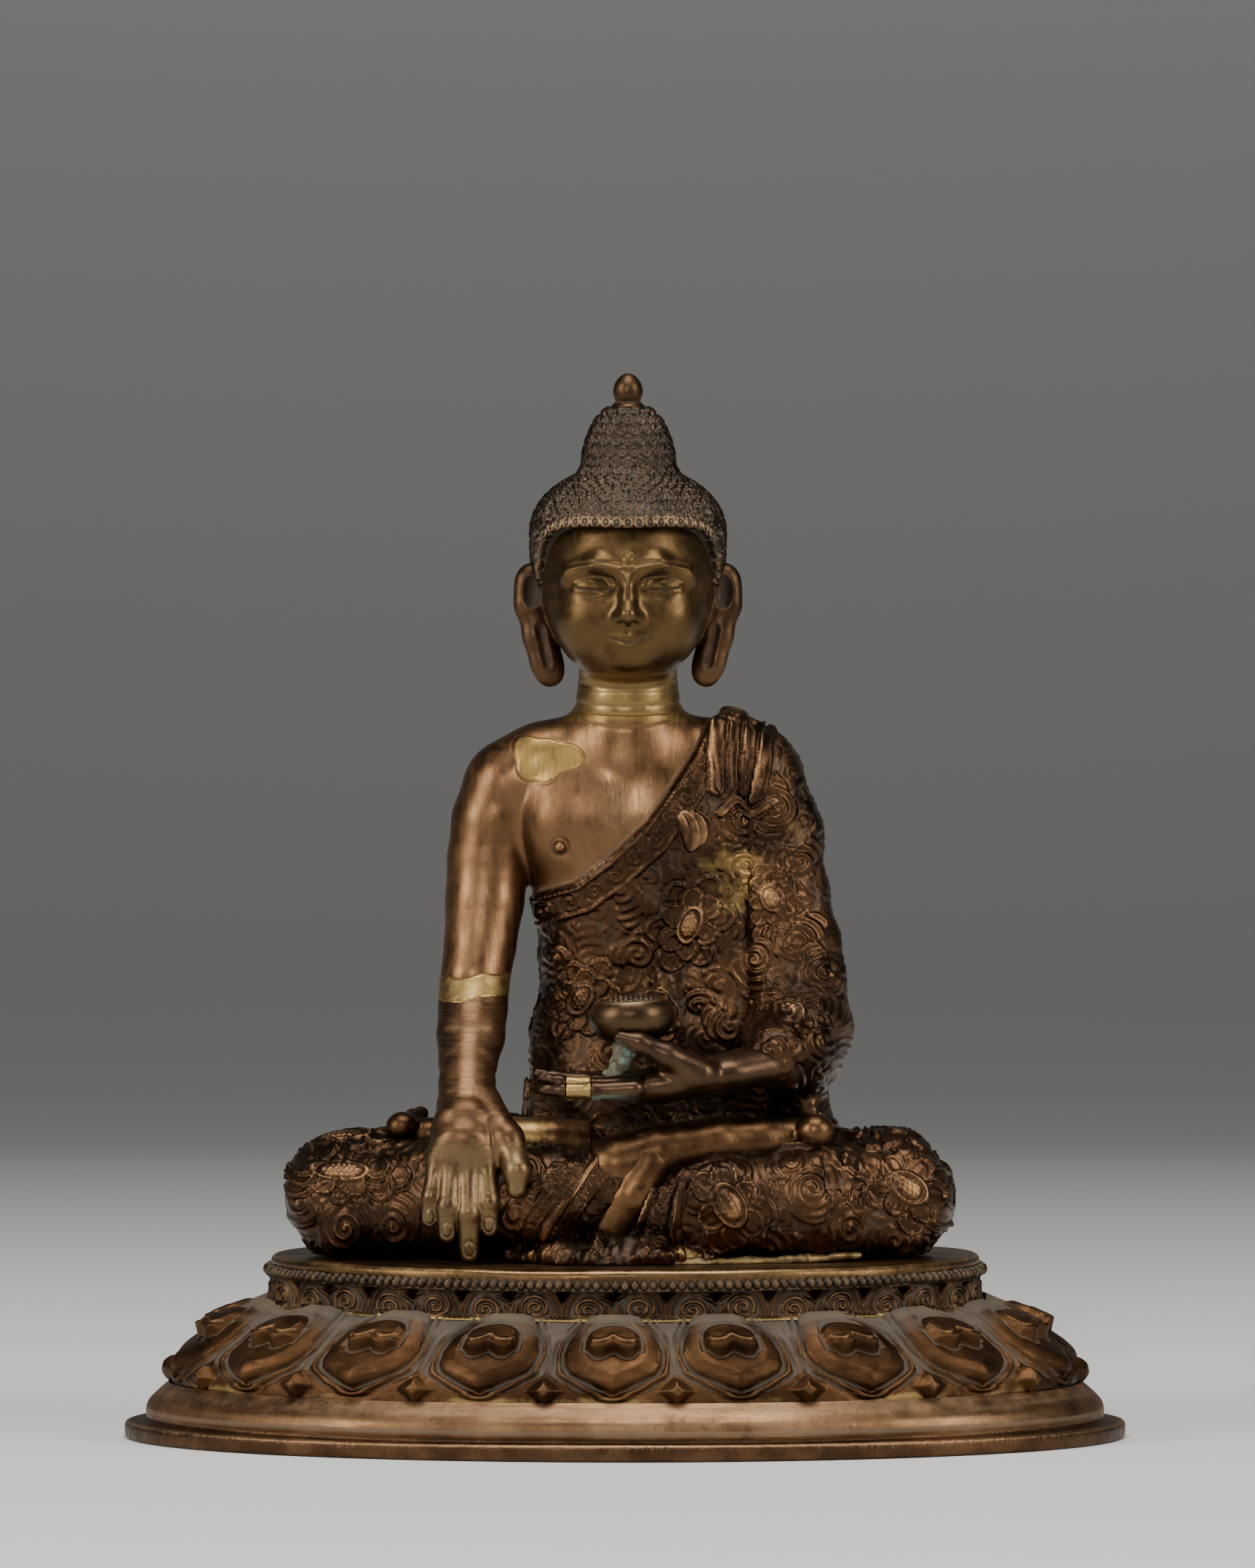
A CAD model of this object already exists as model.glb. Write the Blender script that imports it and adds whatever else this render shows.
import math
import bpy
import numpy as np
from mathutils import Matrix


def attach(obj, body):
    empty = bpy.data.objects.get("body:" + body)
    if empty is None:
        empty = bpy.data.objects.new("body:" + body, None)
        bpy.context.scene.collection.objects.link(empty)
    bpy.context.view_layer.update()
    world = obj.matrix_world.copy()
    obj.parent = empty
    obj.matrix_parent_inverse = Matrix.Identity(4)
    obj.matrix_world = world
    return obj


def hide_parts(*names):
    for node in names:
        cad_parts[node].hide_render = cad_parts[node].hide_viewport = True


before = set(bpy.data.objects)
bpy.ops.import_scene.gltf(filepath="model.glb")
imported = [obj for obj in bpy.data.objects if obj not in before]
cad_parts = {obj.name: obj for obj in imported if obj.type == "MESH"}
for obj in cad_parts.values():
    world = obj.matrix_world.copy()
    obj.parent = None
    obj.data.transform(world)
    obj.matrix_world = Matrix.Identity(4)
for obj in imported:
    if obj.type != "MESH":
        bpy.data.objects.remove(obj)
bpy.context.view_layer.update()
TAU = 2 * math.pi
MM = 0.001
rng = np.random.default_rng(7)


# ------------------------------------------------------------------ mesh helpers (everything in mm)
def make_object(name, P, F, attrs=None, smooth=True):
    me = bpy.data.meshes.new(name)
    P = np.asarray(P, dtype=np.float32)
    F = np.asarray(F, dtype=np.int32)
    k = F.shape[1]
    me.vertices.add(len(P))
    me.vertices.foreach_set("co", (P * MM).ravel())
    me.loops.add(F.size)
    me.loops.foreach_set("vertex_index", F.ravel())
    me.polygons.add(len(F))
    me.polygons.foreach_set("loop_start", np.arange(0, F.size, k, dtype=np.int32))
    me.polygons.foreach_set("loop_total", np.full(len(F), k, dtype=np.int32))
    me.update(calc_edges=True)
    me.validate()
    if smooth:
        me.polygons.foreach_set("use_smooth", np.ones(len(me.polygons), dtype=bool))
    for an, av in (attrs or {}).items():
        at = me.attributes.new(an, "FLOAT", "POINT")
        at.data.foreach_set("value", np.asarray(av, dtype=np.float32))
    ob = bpy.data.objects.new(name, me)
    bpy.context.scene.collection.objects.link(ob)
    return ob


def grid_faces(nu, nv, wrap=True):
    u = np.arange(nu if wrap else nu - 1)
    v = np.arange(nv - 1)
    U, W = np.meshgrid(u, v, indexing="ij")
    U2 = (U + 1) % nu
    return np.stack([U * nv + W, U2 * nv + W, U2 * nv + W + 1, U * nv + W + 1], axis=-1).reshape(-1, 4)


def vnormals(P, F):
    P = np.asarray(P, dtype=np.float64)
    a = P[F[:, 2]] - P[F[:, 0]]
    b = P[F[:, 3 if F.shape[1] == 4 else 1]] - P[F[:, 1 if F.shape[1] == 4 else 0]]
    n = np.cross(a, b) if F.shape[1] == 4 else np.cross(b, a)
    out = np.zeros_like(P)
    for c in range(F.shape[1]):
        for ax in range(3):
            out[:, ax] += np.bincount(F[:, c], weights=n[:, ax], minlength=len(P))
    ln = np.linalg.norm(out, axis=1, keepdims=True)
    return out / np.maximum(ln, 1e-12)


def ss(a, b, x):
    t = np.clip((x - a) / (b - a), 0, 1)
    return t * t * (3 - 2 * t)


def bell(x, w):
    return np.exp(-(x / w) ** 2)


def smooth_noise(P, scale, seed=0, octaves=3):
    """cheap sum of sines noise in [-1, 1]"""
    r = np.random.default_rng(seed)
    out = np.zeros(len(P))
    amp, tot = 1.0, 0.0
    for o in range(octaves):
        for k in range(5):
            d = r.normal(size=3)
            d /= np.linalg.norm(d)
            f = (2 ** o) * (0.7 + 0.6 * r.random()) / scale
            out += amp * np.sin(TAU * f * (P @ d) + r.random() * TAU)
        tot += amp * 5 ** 0.5
        amp *= 0.55
    return np.clip(out / tot, -1, 1)


def arc_t(a, b, s, phase=0.0):
    """ellipse angle at fraction s of the way round, 0 at the front"""
    steps = 7200
    t = (np.arange(steps) + 0.5) / steps * TAU
    d = np.hypot(a * np.cos(t), b * np.sin(t))
    acc = np.concatenate([[0], np.cumsum(d)]) / d.sum()
    return np.interp((np.asarray(s) + phase) % 1.0, acc, np.arange(steps + 1) / steps * TAU)


# ------------------------------------------------------------------ materials
def nodes_of(mat):
    mat.use_nodes = True
    nt = mat.node_tree
    nt.nodes.clear()
    return nt


def metal(name, dark, mid, rub, dust, rough=(0.34, 0.55), mottle=9.0, rub_gain=1.0, dust_gain=1.0, gold=(0.36, 0.235, 0.085),
          bump=0.00012, brush=None, spot=0.0, verd=0.0, wear=0.0):
    """Old copper alloy: brown film, metal rubbed bright on the highs, grey dust in the lows."""
    mat = bpy.data.materials.new(name)
    nt = nodes_of(mat)
    N, L = nt.nodes, nt.links

    def nd(t, **kw):
        n = N.new(t)
        for k, v in kw.items():
            setattr(n, k, v)
        return n

    tc = nd("ShaderNodeTexCoord")

    def noise(scale, detail=5.0, rough_=0.6, vec=None, dist=0.0):
        n = nd("ShaderNodeTexNoise")
        n.inputs["Scale"].default_value = scale
        n.inputs["Detail"].default_value = detail
        n.inputs["Roughness"].default_value = rough_
        n.inputs["Distortion"].default_value = dist
        L.new(vec or tc.outputs["Object"], n.inputs["Vector"])
        return n.outputs["Fac"]

    def rng_(v, a, b, lo=0.0, hi=1.0, smooth=True):
        m = nd("ShaderNodeMapRange")
        if smooth:
            m.interpolation_type = "SMOOTHSTEP"
        m.inputs["From Min"].default_value = a
        m.inputs["From Max"].default_value = b
        m.inputs["To Min"].default_value = lo
        m.inputs["To Max"].default_value = hi
        L.new(v, m.inputs["Value"])
        return m.outputs["Result"]

    def math_(op, a, b=None, clamp=False):
        m = nd("ShaderNodeMath", operation=op, use_clamp=clamp)
        for i, x in enumerate((a, b)):
            if x is None:
                continue
            if isinstance(x, (int, float)):
                m.inputs[i].default_value = x
            else:
                L.new(x, m.inputs[i])
        return m.outputs[0]

    def mix(f, a, b):
        m = nd("ShaderNodeMix", data_type="RGBA")
        L.new(f, m.inputs["Factor"])
        for key, x in (("A", a), ("B", b)):
            sock = [s for s in m.inputs if s.name == key and s.type == "RGBA"][0]
            if isinstance(x, tuple):
                sock.default_value = (*x, 1.0)
            else:
                L.new(x, sock)
        return [s for s in m.outputs if s.type == "RGBA"][0]

    def attr(nm):
        a = nd("ShaderNodeAttribute", attribute_name=nm)
        return a.outputs["Fac"]

    n1 = noise(mottle * 10, 6, 0.62, dist=0.4)
    n2 = noise(mottle * 45, 5, 0.6)
    n3 = noise(900, 3, 0.6)
    hi, lo, gd = attr("hi"), attr("lo"), attr("gold")
    base = mix(rng_(n1, 0.36, 0.66), dark, mid)
    # rubbed highs
    rubf = math_("MULTIPLY", rng_(math_("ADD", math_("MULTIPLY", hi, 1.15), math_("MULTIPLY", math_("SUBTRACT", n2, 0.5), 0.9)), 0.35, 1.05), rub_gain, True)
    col = mix(rubf, base, rub)
    if wear:
        wf = math_("MULTIPLY", rng_(n1, 0.56, 0.74), wear, True)
        col = mix(wf, col, rub)
    if spot:
        sf = math_("MULTIPLY", rng_(noise(mottle * 22, 4, 0.7), 0.62, 0.74), spot, True)
        col = mix(sf, col, tuple(c * 0.35 for c in dark))
    # cast-on or laid-bare yellow metal
    gf = math_("MULTIPLY", gd, rng_(math_("ADD", gd, math_("MULTIPLY", math_("SUBTRACT", n2, 0.5), 1.3)), 0.3, 0.62), True)
    col = mix(gf, col, gold)
    dustf = math_("MULTIPLY", rng_(math_("ADD", lo, math_("MULTIPLY", math_("SUBTRACT", n2, 0.5), 0.8)), 0.22, 0.95), dust_gain, True)
    col2 = mix(dustf, col, dust)
    if verd:
        vf = math_("MULTIPLY", rng_(noise(260, 5, 0.7), 0.5, 0.66), verd, True)
        col2 = mix(vf, col2, (0.26, 0.42, 0.36))
    bs = nd("ShaderNodeBsdfPrincipled")
    L.new(col2, bs.inputs["Base Color"])
    met = math_("SUBTRACT", 1.0, math_("MULTIPLY", dustf, 0.9), True)
    if verd:
        met = math_("SUBTRACT", met, vf, True)
    L.new(met, bs.inputs["Metallic"])
    r = rng_(n2, 0.3, 0.7, rough[0], rough[1], False)
    if brush:
        mp = nd("ShaderNodeMapping")
        mp.inputs["Scale"].default_value = brush
        L.new(tc.outputs["Object"], mp.inputs["Vector"])
        st = noise(1.0, 3, 0.55, vec=mp.outputs["Vector"])
        r = math_("ADD", r, math_("MULTIPLY", math_("SUBTRACT", st, 0.5), 0.34), True)
        h_b = math_("MULTIPLY", st, 0.8)
    else:
        h_b = None
    r = math_("ADD", r, math_("MULTIPLY", dustf, 0.35), True)
    L.new(r, bs.inputs["Roughness"])
    bs.inputs["Specular IOR Level"].default_value = 0.4
    hgt = math_("ADD", math_("MULTIPLY", n3, 0.35), math_("MULTIPLY", n2, 0.9))
    if h_b is not None:
        hgt = math_("ADD", hgt, h_b)
    bp = nd("ShaderNodeBump")
    bp.inputs["Strength"].default_value = 1.0
    bp.inputs["Distance"].default_value = bump
    L.new(hgt, bp.inputs["Height"])
    L.new(bp.outputs["Normal"], bs.inputs["Normal"])
    out = nd("ShaderNodeOutputMaterial")
    L.new(bs.outputs["BSDF"], out.inputs["Surface"])
    return mat


M_BASE = metal("petal_bronze", (0.050, 0.024, 0.011), (0.118, 0.057, 0.024), (0.30, 0.165, 0.075), (0.125, 0.102, 0.074), rough=(0.40, 0.58), rub_gain=0.75, dust_gain=0.8, mottle=6, spot=0.5)
M_BAND = metal("band_bronze", (0.14, 0.075, 0.036), (0.27, 0.15, 0.075), (0.48, 0.30, 0.165), (0.17, 0.13, 0.09), rough=(0.36, 0.54), rub_gain=0.6, dust_gain=0.5, mottle=4, spot=0.65, brush=(60, 60, 900), wear=0.3)
M_FLANGE = metal("flange_bronze", (0.065, 0.034, 0.018), (0.13, 0.068, 0.034), (0.34, 0.20, 0.10), (0.14, 0.11, 0.08), rough=(0.34, 0.52), mottle=8, brush=(1100, 1100, 40), spot=0.4, bump=0.0002)
M_RIM = metal("rim_bronze", (0.045, 0.028, 0.018), (0.09, 0.058, 0.034), (0.26, 0.17, 0.095), (0.11, 0.09, 0.065), dust_gain=0.7)
M_FRIEZE = metal("frieze_bronze", (0.042, 0.022, 0.011), (0.09, 0.048, 0.023), (0.32, 0.18, 0.088), (0.09, 0.072, 0.052), dust_gain=0.6, rub_gain=0.9)
M_DECK = metal("deck_bronze", (0.10, 0.055, 0.024), (0.19, 0.108, 0.046), (0.40, 0.25, 0.115), (0.2, 0.16, 0.12), rough=(0.3, 0.46), mottle=5, brush=(35, 300, 300), spot=0.3)


# ------------------------------------------------------------------ the base
NP = 18


def ring_surface(name, rows, nt, mat, node, hf=None, attrs=None, ref=(92.0, 59.0), phase=-0.11 / NP, sub=1, close_low=False):
    """rows (k,3) of z, a, b, swept round the oval; hf(u_frac, w_mm) gives outward height"""
    rows = np.asarray(rows, dtype=float)
    s = np.arange(nt) / nt
    t = arc_t(ref[0], ref[1], s, phase)
    st, ct = np.sin(t)[:, None], np.cos(t)[:, None]
    X = rows[None, :, 1] * st
    Y = -rows[None, :, 2] * ct
    Z = np.broadcast_to(rows[None, :, 0], X.shape)
    P = np.stack([X, Y, Z], -1).reshape(-1, 3)
    F = grid_faces(nt, len(rows))
    nrm = vnormals(P, F)
    if hf is not None:
        seg = np.hypot(np.diff(rows[:, 0]), np.diff(0.5 * (rows[:, 1] + rows[:, 2])))
        w = np.concatenate([[0], np.cumsum(seg)])
        S, W = np.meshgrid(s, w, indexing="ij")
        h, at = hf(S.ravel(), W.ravel())
        P = P + nrm * h[:, None]
    else:
        at = attrs or {}
    ob = make_object(name, P, F, at)
    ob.data.materials.append(mat)
    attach(ob, "root")
    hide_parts(node)
    return ob


def densify(rows, step):
    rows = np.asarray(rows, dtype=float)
    seg = np.sqrt((np.diff(rows, axis=0) ** 2).sum(1))
    w = np.concatenate([[0], np.cumsum(seg)])
    n = max(2, int(round(w[-1] / step)) + 1)
    q = np.linspace(0, w[-1], n)
    out = np.stack([np.interp(q, w, rows[:, i]) for i in range(3)], 1)
    # soften the corners a little
    for _ in range(3):
        out[1:-1] = 0.25 * out[:-2] + 0.5 * out[1:-1] + 0.25 * out[2:]
    return out


def petal_height(S, W):
    u = (S * NP + 0.5) % 1.0 - 0.5
    idx = np.floor(S * NP + 0.5) % NP
    jit = np.sin(idx * 12.9898) * 43758.5453
    jit = (jit - np.floor(jit)) - 0.5
    U = u * 26.7 + jit * 0.8
    aU = np.abs(U)
    Wp = W - 0.35 * jit
    kw = np.array([2.4, 3.2, 4.3, 5.4, 7.0, 9.0, 12.4, 16.0, 19.0, 21.6, 23])
    kh = np.array([0.0, 2.3, 4.4, 6.5, 9.0, 10.2, 10.8, 10.2, 9.0, 7.8, 7.2])
    hw = np.interp(Wp, kw, kh, left=-3)
    sl = np.interp(Wp, [2, 3, 4.5, 6, 7.5, 9, 12, 23], [2.6, 2.4, 2.0, 1.9, 1.1, 0.5, 0.1, 0.4])
    s = (hw - aU) / np.sqrt(1 + sl ** 2)
    s = np.where(Wp < 2.4, -np.hypot(np.maximum(2.4 - Wp, 0), aU * 0.4), s)
    body = 1.75 * np.sqrt(np.clip(s / 3.4, 0, 1)) * ss(-0.2, 0.5, s)
    # the tip of each petal stands proud
    body += 0.9 * bell(Wp - 4.4, 2.6) * bell(U, 5.0) * (s > 0) * np.clip(s, 0, 1)
    h = body.copy()
    h += -0.55 * bell(s + 0.35, 0.33)
    h += 0.75 * bell(s + 1.15, 0.5) * (Wp > 1.0)
    h += -0.35 * bell(s + 1.95, 0.4)
    h += 0.35 * bell(s + 2.75, 0.42) * (Wp > 5)
    # curled tip: a heavy tongue with a rolled, bow-shaped lower lip
    low = 10.9 + 1.0 * bell(U, 1.1) - 0.55 * bell(aU - 3.1, 1.5) + 1.6 * ss(4.2, 6.0, aU)
    top = 14.9 + 4.7 * np.sqrt(np.clip(1 - (U / 5.9) ** 2, 0, 1))
    kd = np.minimum(np.minimum(Wp - low, (top - Wp) * 0.9), 5.9 - aU)
    knob = ss(-0.15, 1.15, kd) * (0.9 + 1.7 * ss(19.8, 11.4, Wp)) * (0.5 + 0.5 * np.sqrt(np.clip(1 - (U / 6.4) ** 2, 0, 1)))
    h += knob - 0.45 * bell(kd + 0.45, 0.4) * (s > 0.2)
    lip = Wp - low
    h -= 0.5 * bell(lip - 2.1, 0.34) * (kd > 0.3)
    h += 0.35 * bell(lip - 1.1, 0.6) * (kd > 0.2) + 0.22 * bell(lip - 3.0, 0.5) * (kd > 0.6)
    # faceted studs between the petals
    V = (0.5 - np.abs(u)) * 26.7
    pyr = 1 - V / 4.3 - np.abs(W - 2.7) / 3.3
    stud = np.clip(pyr, 0, 0.72) * 3.6
    h = np.where(pyr > 0, np.maximum(h * 0.2, stud - 0.1), h)
    # fluting above the studs
    h += 0.28 * np.cos(V * 2.6) * ss(7, 12, W) * ss(4.2, 2.2, V) * ss(21.5, 18, W)
    field = ss(12.5, 18.5, Wp) * ss(-0.1, -0.9, kd)
    lo = np.clip(0.9 * bell(s + 0.3, 0.5) + 0.6 * bell(s + 1.9, 0.5) + 0.55 * ss(-1.0, -2.6, s) * (pyr < -0.05) * ss(5, 8, W) + 0.8 * bell(kd + 0.55, 0.5) * (s > 0) + 0.5 * field, 0, 1)
    lo = np.clip(lo + 0.5 * ss(19.5, 21.4, W), 0, 1)
    hi = np.clip(0.16 * (body > 1.4) * ss(8, 4, Wp) + 0.55 * bell(s + 1.15, 0.3) + 0.8 * (kd > 0.4) * bell(lip - 2.75, 0.35) + 0.45 * (kd > 0.1) * bell(lip - 0.9, 0.4) + 0.5 * (pyr > 0.6), 0, 1)
    hi *= (1 - 0.5 * ss(14, 20, W))
    brk = 0.5 + 0.5 * np.sin(S * TAU * 5 + 1.0) * np.sin(S * TAU * 11 + 2.0)
    gold = 0.75 * ss(2.8, 0.6, W) * (pyr < 0) * brk + 0.75 * ss(20.4, 21.8, W) * (0.35 + 0.65 * brk)
    return h, {"hi": hi, "lo": lo * (1 - 0.6 * (W < 2.5)), "gold": gold}


def build_base():
    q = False
    # foot flange and smooth band
    foot = densify([(0.0, 98.6, 61.2), (0.0, 102.9, 65.4), (0.35, 103.3, 65.8), (3.2, 103.35, 65.85), (3.55, 103.0, 65.5), (3.65, 101.2, 64.6),
                    (3.7, 100.0, 64.2), (4.0, 99.0, 63.9), (4.4, 98.6, 63.9), (4.9, 98.9, 64.6), (6.2, 99.0, 64.6), (7.8, 98.4, 64.1), (9.2, 97.0, 62.8),
                    (10.4, 95.7, 61.4), (11.2, 94.7, 60.4), (11.6, 94.2, 60.0)], 0.5)

    def foot_h(S, W):
        th = S * TAU
        wob = 0.10 * np.sin(3 * th + 1) + 0.06 * np.sin(7 * th + 2)
        h = wob * ss(4.6, 5.2, W)
        z = W
        edge = bell(W - 8.2, 0.35) * 0.15
        return h - edge, {"hi": np.clip(bell(W - 7.6, 0.5) + ss(14.0, 17.0, W) * 0.6, 0, 1), "lo": bell(W - 12.2, 0.6), "gold": 0.0 * W}
    fb = ring_surface("foot_and_band", foot, 720, M_BAND, "lotus_base", foot_h)
    fb.data.materials.append(M_FLANGE)
    mid = np.zeros(len(fb.data.polygons) * 3)
    fb.data.polygons.foreach_get("center", mid)
    mid = mid.reshape(-1, 3)[:, 2] * 1000
    fb.data.polygons.foreach_set("material_index", ((mid < 3.3) | (mid < 4.3) & (mid > 3.5)).astype(np.int32))
    pet = densify([(11.3, 93.4, 59.4), (12.4, 93.6, 59.3), (15.5, 93.0, 58.8), (18.5, 90.0, 56.8), (20.9, 86.4, 54.6), (23.0, 83.8, 52.8), (25.6, 79.6, 50.4), (27.8, 74.4, 48.2)], 0.34)
    ring_surface("petal_ring", pet, 1440, M_BASE, "lotus_base", petal_height)


def frieze_height(n):
    def f(S, W):
        k = S * n
        c = np.floor(k)
        u = (k - c - 0.5) * (389.0 / n)
        alt = np.where(c % 2 == 0, 1.0, -1.0)
        r2 = np.sin(c * 91.7) * 0.5
        cz = 2.9 + 0.35 * alt
        x, y = u, (W - cz)
        r = np.hypot(x, y)
        th = np.arctan2(y, x * alt)
        R = 3.5
        off = r - R
        ph = r / 1.55 - th / TAU + r2
        sp = np.cos(TAU * ph)
        env = ss(0.5, -0.5, off)
        h = env * (0.75 + 0.35 * np.sqrt(np.clip(1 - (r / (R + 0.3)) ** 2, 0, 1)) + 0.30 * sp)
        # leaf strands that sweep on round from one scroll to the next
        gap = 1 - env
        lean = off * 1.15 + 0.55 * x * alt + 0.3 * y
        st = np.cos(TAU * lean / 1.6)
        h += gap * (0.55 + 0.30 * st - 0.16 * np.clip(off, 0, 3)) - 0.45 * bell(off - 0.1, 0.25)
        hole = ss(1.5, 2.3, off) * ss(4.3, 5.0, W) * ss(6.7, 6.2, W)
        h = h - 3.0 * hole
        hi = np.clip((0.5 + 0.5 * np.where(env > 0.5, sp, st)) * (0.25 + 0.32 * env), 0, 1) * (1 - hole)
        lo = np.clip((0.5 - 0.5 * np.where(env > 0.5, sp, st)) * 0.7 + 0.5 * bell(off - 0.1, 0.4), 0, 1)
        leaf = gap * ss(2.4, 1.2, W)
        seam = ss(0.9, 0.3, W)
        h = h * (1 - seam) + seam * 0.9
        return h * 0.95, {"hi": hi * (1 - seam), "lo": lo * (1 - seam), "gold": np.clip(seam * 1.0 + leaf * 0.35, 0, 1)}
    return f


def build_rim_and_deck():
    n = 36
    fr = densify([(27.2, 74.0, 48.2), (27.8, 73.4, 48.0), (28.6, 72.6, 47.4), (31.0, 72.4, 47.2), (33.4, 72.8, 47.6), (34.2, 73.4, 48.4)], 0.26)
    o = ring_surface("scroll_frieze", fr, 1600, M_FRIEZE, "pierced_frieze", frieze_height(n), ref=(73, 47.8))
    # beads
    nb = 202
    s = np.arange(nb) / nb
    t = arc_t(74.0, 50.6, s)
    nu, nv = 10, 8
    a = np.arange(nu) / nu * TAU
    b = np.linspace(-math.pi / 2, math.pi / 2, nv)
    A, B = np.meshgrid(a, b, indexing="ij")
    sph = np.stack([np.cos(B) * np.cos(A), np.cos(B) * np.sin(A), np.sin(B)], -1).reshape(-1, 3)
    r_ = np.random.default_rng(3)
    Ps, Fs, his = [], [], []
    f0 = grid_faces(nu, nv)
    for i in range(nb):
        cx, cy = 73.6 * math.sin(t[i]), -50.1 * math.cos(t[i])
        tx, ty = 73.6 * math.cos(t[i]), 50.1 * math.sin(t[i])
        ln = math.hypot(tx, ty)
        tx, ty = tx / ln, ty / ln
        k = 1 + 0.06 * r_.normal()
        p = np.stack([sph[:, 0] * 0.97 * tx + sph[:, 1] * 1.25 * ty, sph[:, 0] * 0.97 * ty - sph[:, 1] * 1.25 * tx, sph[:, 2] * 1.16], -1) * k + np.array([cx, cy, 34.9 + 0.05 * r_.normal()])
        Ps.append(p)
        Fs.append(f0 + i * len(sph))
        out = (p[:, 0] - cx) * ty - (p[:, 1] - cy) * tx
        his.append(np.clip(out / 1.2, 0, 1) * 0.5)
    hi = np.concatenate(his)
    ob = make_object("bead_row", np.concatenate(Ps), np.concatenate(Fs), {"hi": hi, "lo": np.clip(0.9 - hi * 1.6, 0, 1), "gold": hi * 0})
    ob.data.materials.append(M_RIM)
    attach(ob, "root")
    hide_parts("beaded_rim")
    # deck
    edge = densify([(33.7, 72.6, 49.2), (36.1, 72.8, 49.3), (36.4, 73.3, 49.5), (36.9, 73.4, 49.5), (37.5, 73.2, 49.3), (37.95, 72.6, 48.8), (38.0, 71.4, 47.8), (38.0, 60.0, 38.0), (38.0, 40.0, 24.0), (38.0, 16.0, 9.0), (38.0, 0.3, 0.2)], 0.8)

    def deck_h(S, W):
        th = S * TAU
        h = 0.10 * np.sin(5 * th) + 0.07 * np.sin(11 * th + 1)
        h = h * ss(2.0, 3.4, W) * ss(9, 4.5, W)
        return h, {"hi": 0.8 * bell(W - 4.2, 0.7), "lo": 0.5 * ss(2.6, 2.0, W), "gold": 0.25 * bell(W - 4.6, 0.8)}
    ob = ring_surface("deck_top", edge, 480, M_DECK, "deck_plate", deck_h, ref=(73, 49))


build_base()
build_rim_and_deck()


# ------------------------------------------------------------------ plain looks for CAD pieces that stay in view
def dress(name, mat):
    o = bpy.data.objects.get(name)
    if o is not None:
        o.data.materials.clear()
        o.data.materials.append(mat)


M_PLATE = metal("plate_copper", (0.30, 0.13, 0.07), (0.46, 0.22, 0.12), (0.6, 0.34, 0.2), (0.2, 0.16, 0.12), mottle=3, spot=0.4)
M_BRAZE = metal("braze_brass", (0.19, 0.112, 0.040), (0.30, 0.19, 0.066), (0.45, 0.31, 0.12), (0.3, 0.26, 0.16), mottle=12, rough=(0.3, 0.5))
# ------------------------------------------------------------------ signed distance modelling (mm)
import openvdb as vdb
from mathutils import kdtree

CAM_E = math.radians(2.95)
CAM_D = 4500.0
CAM_C = np.array([0.5, -CAM_D * math.cos(CAM_E), 135.0 + CAM_D * math.sin(CAM_E)])
CAM_F = CAM_D / 0.15


def Q(xp, yp, d):
    """a point from its place in the front view and its distance d forward of the axis"""
    k = (1078.0 - yp) / CAM_F
    A = -d - CAM_C[1]
    B = A * (k * math.cos(CAM_E) - math.sin(CAM_E)) / (math.cos(CAM_E) + k * math.sin(CAM_E))
    depth = A * math.cos(CAM_E) - B * math.sin(CAM_E)
    return np.array([0.5 + (xp - 862.5) * depth / CAM_F, -d, CAM_C[2] + B])


def front_uv(P):
    """place of points in the front view"""
    A = P[:, 1] - CAM_C[1]
    B = P[:, 2] - CAM_C[2]
    depth = A * math.cos(CAM_E) - B * math.sin(CAM_E)
    up = A * math.sin(CAM_E) + B * math.cos(CAM_E)
    return 862.5 + (P[:, 0] - CAM_C[0]) / depth * CAM_F, 1078.0 - up / depth * CAM_F


def smin(a, b, k):
    h = np.clip(0.5 + 0.5 * (b - a) / k, 0, 1)
    return b + (a - b) * h - k * h * (1 - h)


def smax(a, b, k):
    return -smin(-a, -b, k)


def union(fs, k):
    out = fs[0]
    for f in fs[1:]:
        out = smin(out, f, k)
    return out


def ell(P, c, r, R=None):
    q = P - np.asarray(c)
    if R is not None:
        q = q @ R
    r = np.asarray(r, dtype=float)
    k0 = np.sqrt(((q / r) ** 2).sum(1))
    k1 = np.sqrt(((q / (r * r)) ** 2).sum(1)) + 1e-9
    return k0 * (k0 - 1.0) / k1


def cone(P, a, b, ra, rb):
    a, b = np.asarray(a, float), np.asarray(b, float)
    d = b - a
    t = np.clip(((P - a) @ d) / (d @ d), 0, 1)
    q = P - a - t[:, None] * d
    return np.sqrt((q * q).sum(1)) - (ra + (rb - ra) * t)


def chain(P, pts, k=1.5):
    """pts of (point, radius)"""
    return union([cone(P, pts[i][0], pts[i + 1][0], pts[i][1], pts[i + 1][1]) for i in range(len(pts) - 1)], k)


def flat_cone(P, a, b, ra, rb, axis, squeeze):
    """a round cone thinned along an axis"""
    axis = np.asarray(axis, float)
    axis = axis / np.linalg.norm(axis)
    s = 1.0 / squeeze - 1.0

    def w(p):
        return p + ((p @ axis) * s)[:, None] * axis
    a2, b2 = w(np.asarray([a], float))[0], w(np.asarray([b], float))[0]
    return cone(w(P), a2, b2, ra, rb) * squeeze


def flat_chain(P, pts, axis, squeeze, k=1.5):
    return union([flat_cone(P, pts[i][0], pts[i + 1][0], pts[i][1], pts[i + 1][1], axis, squeeze) for i in range(len(pts) - 1)], k)


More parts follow.
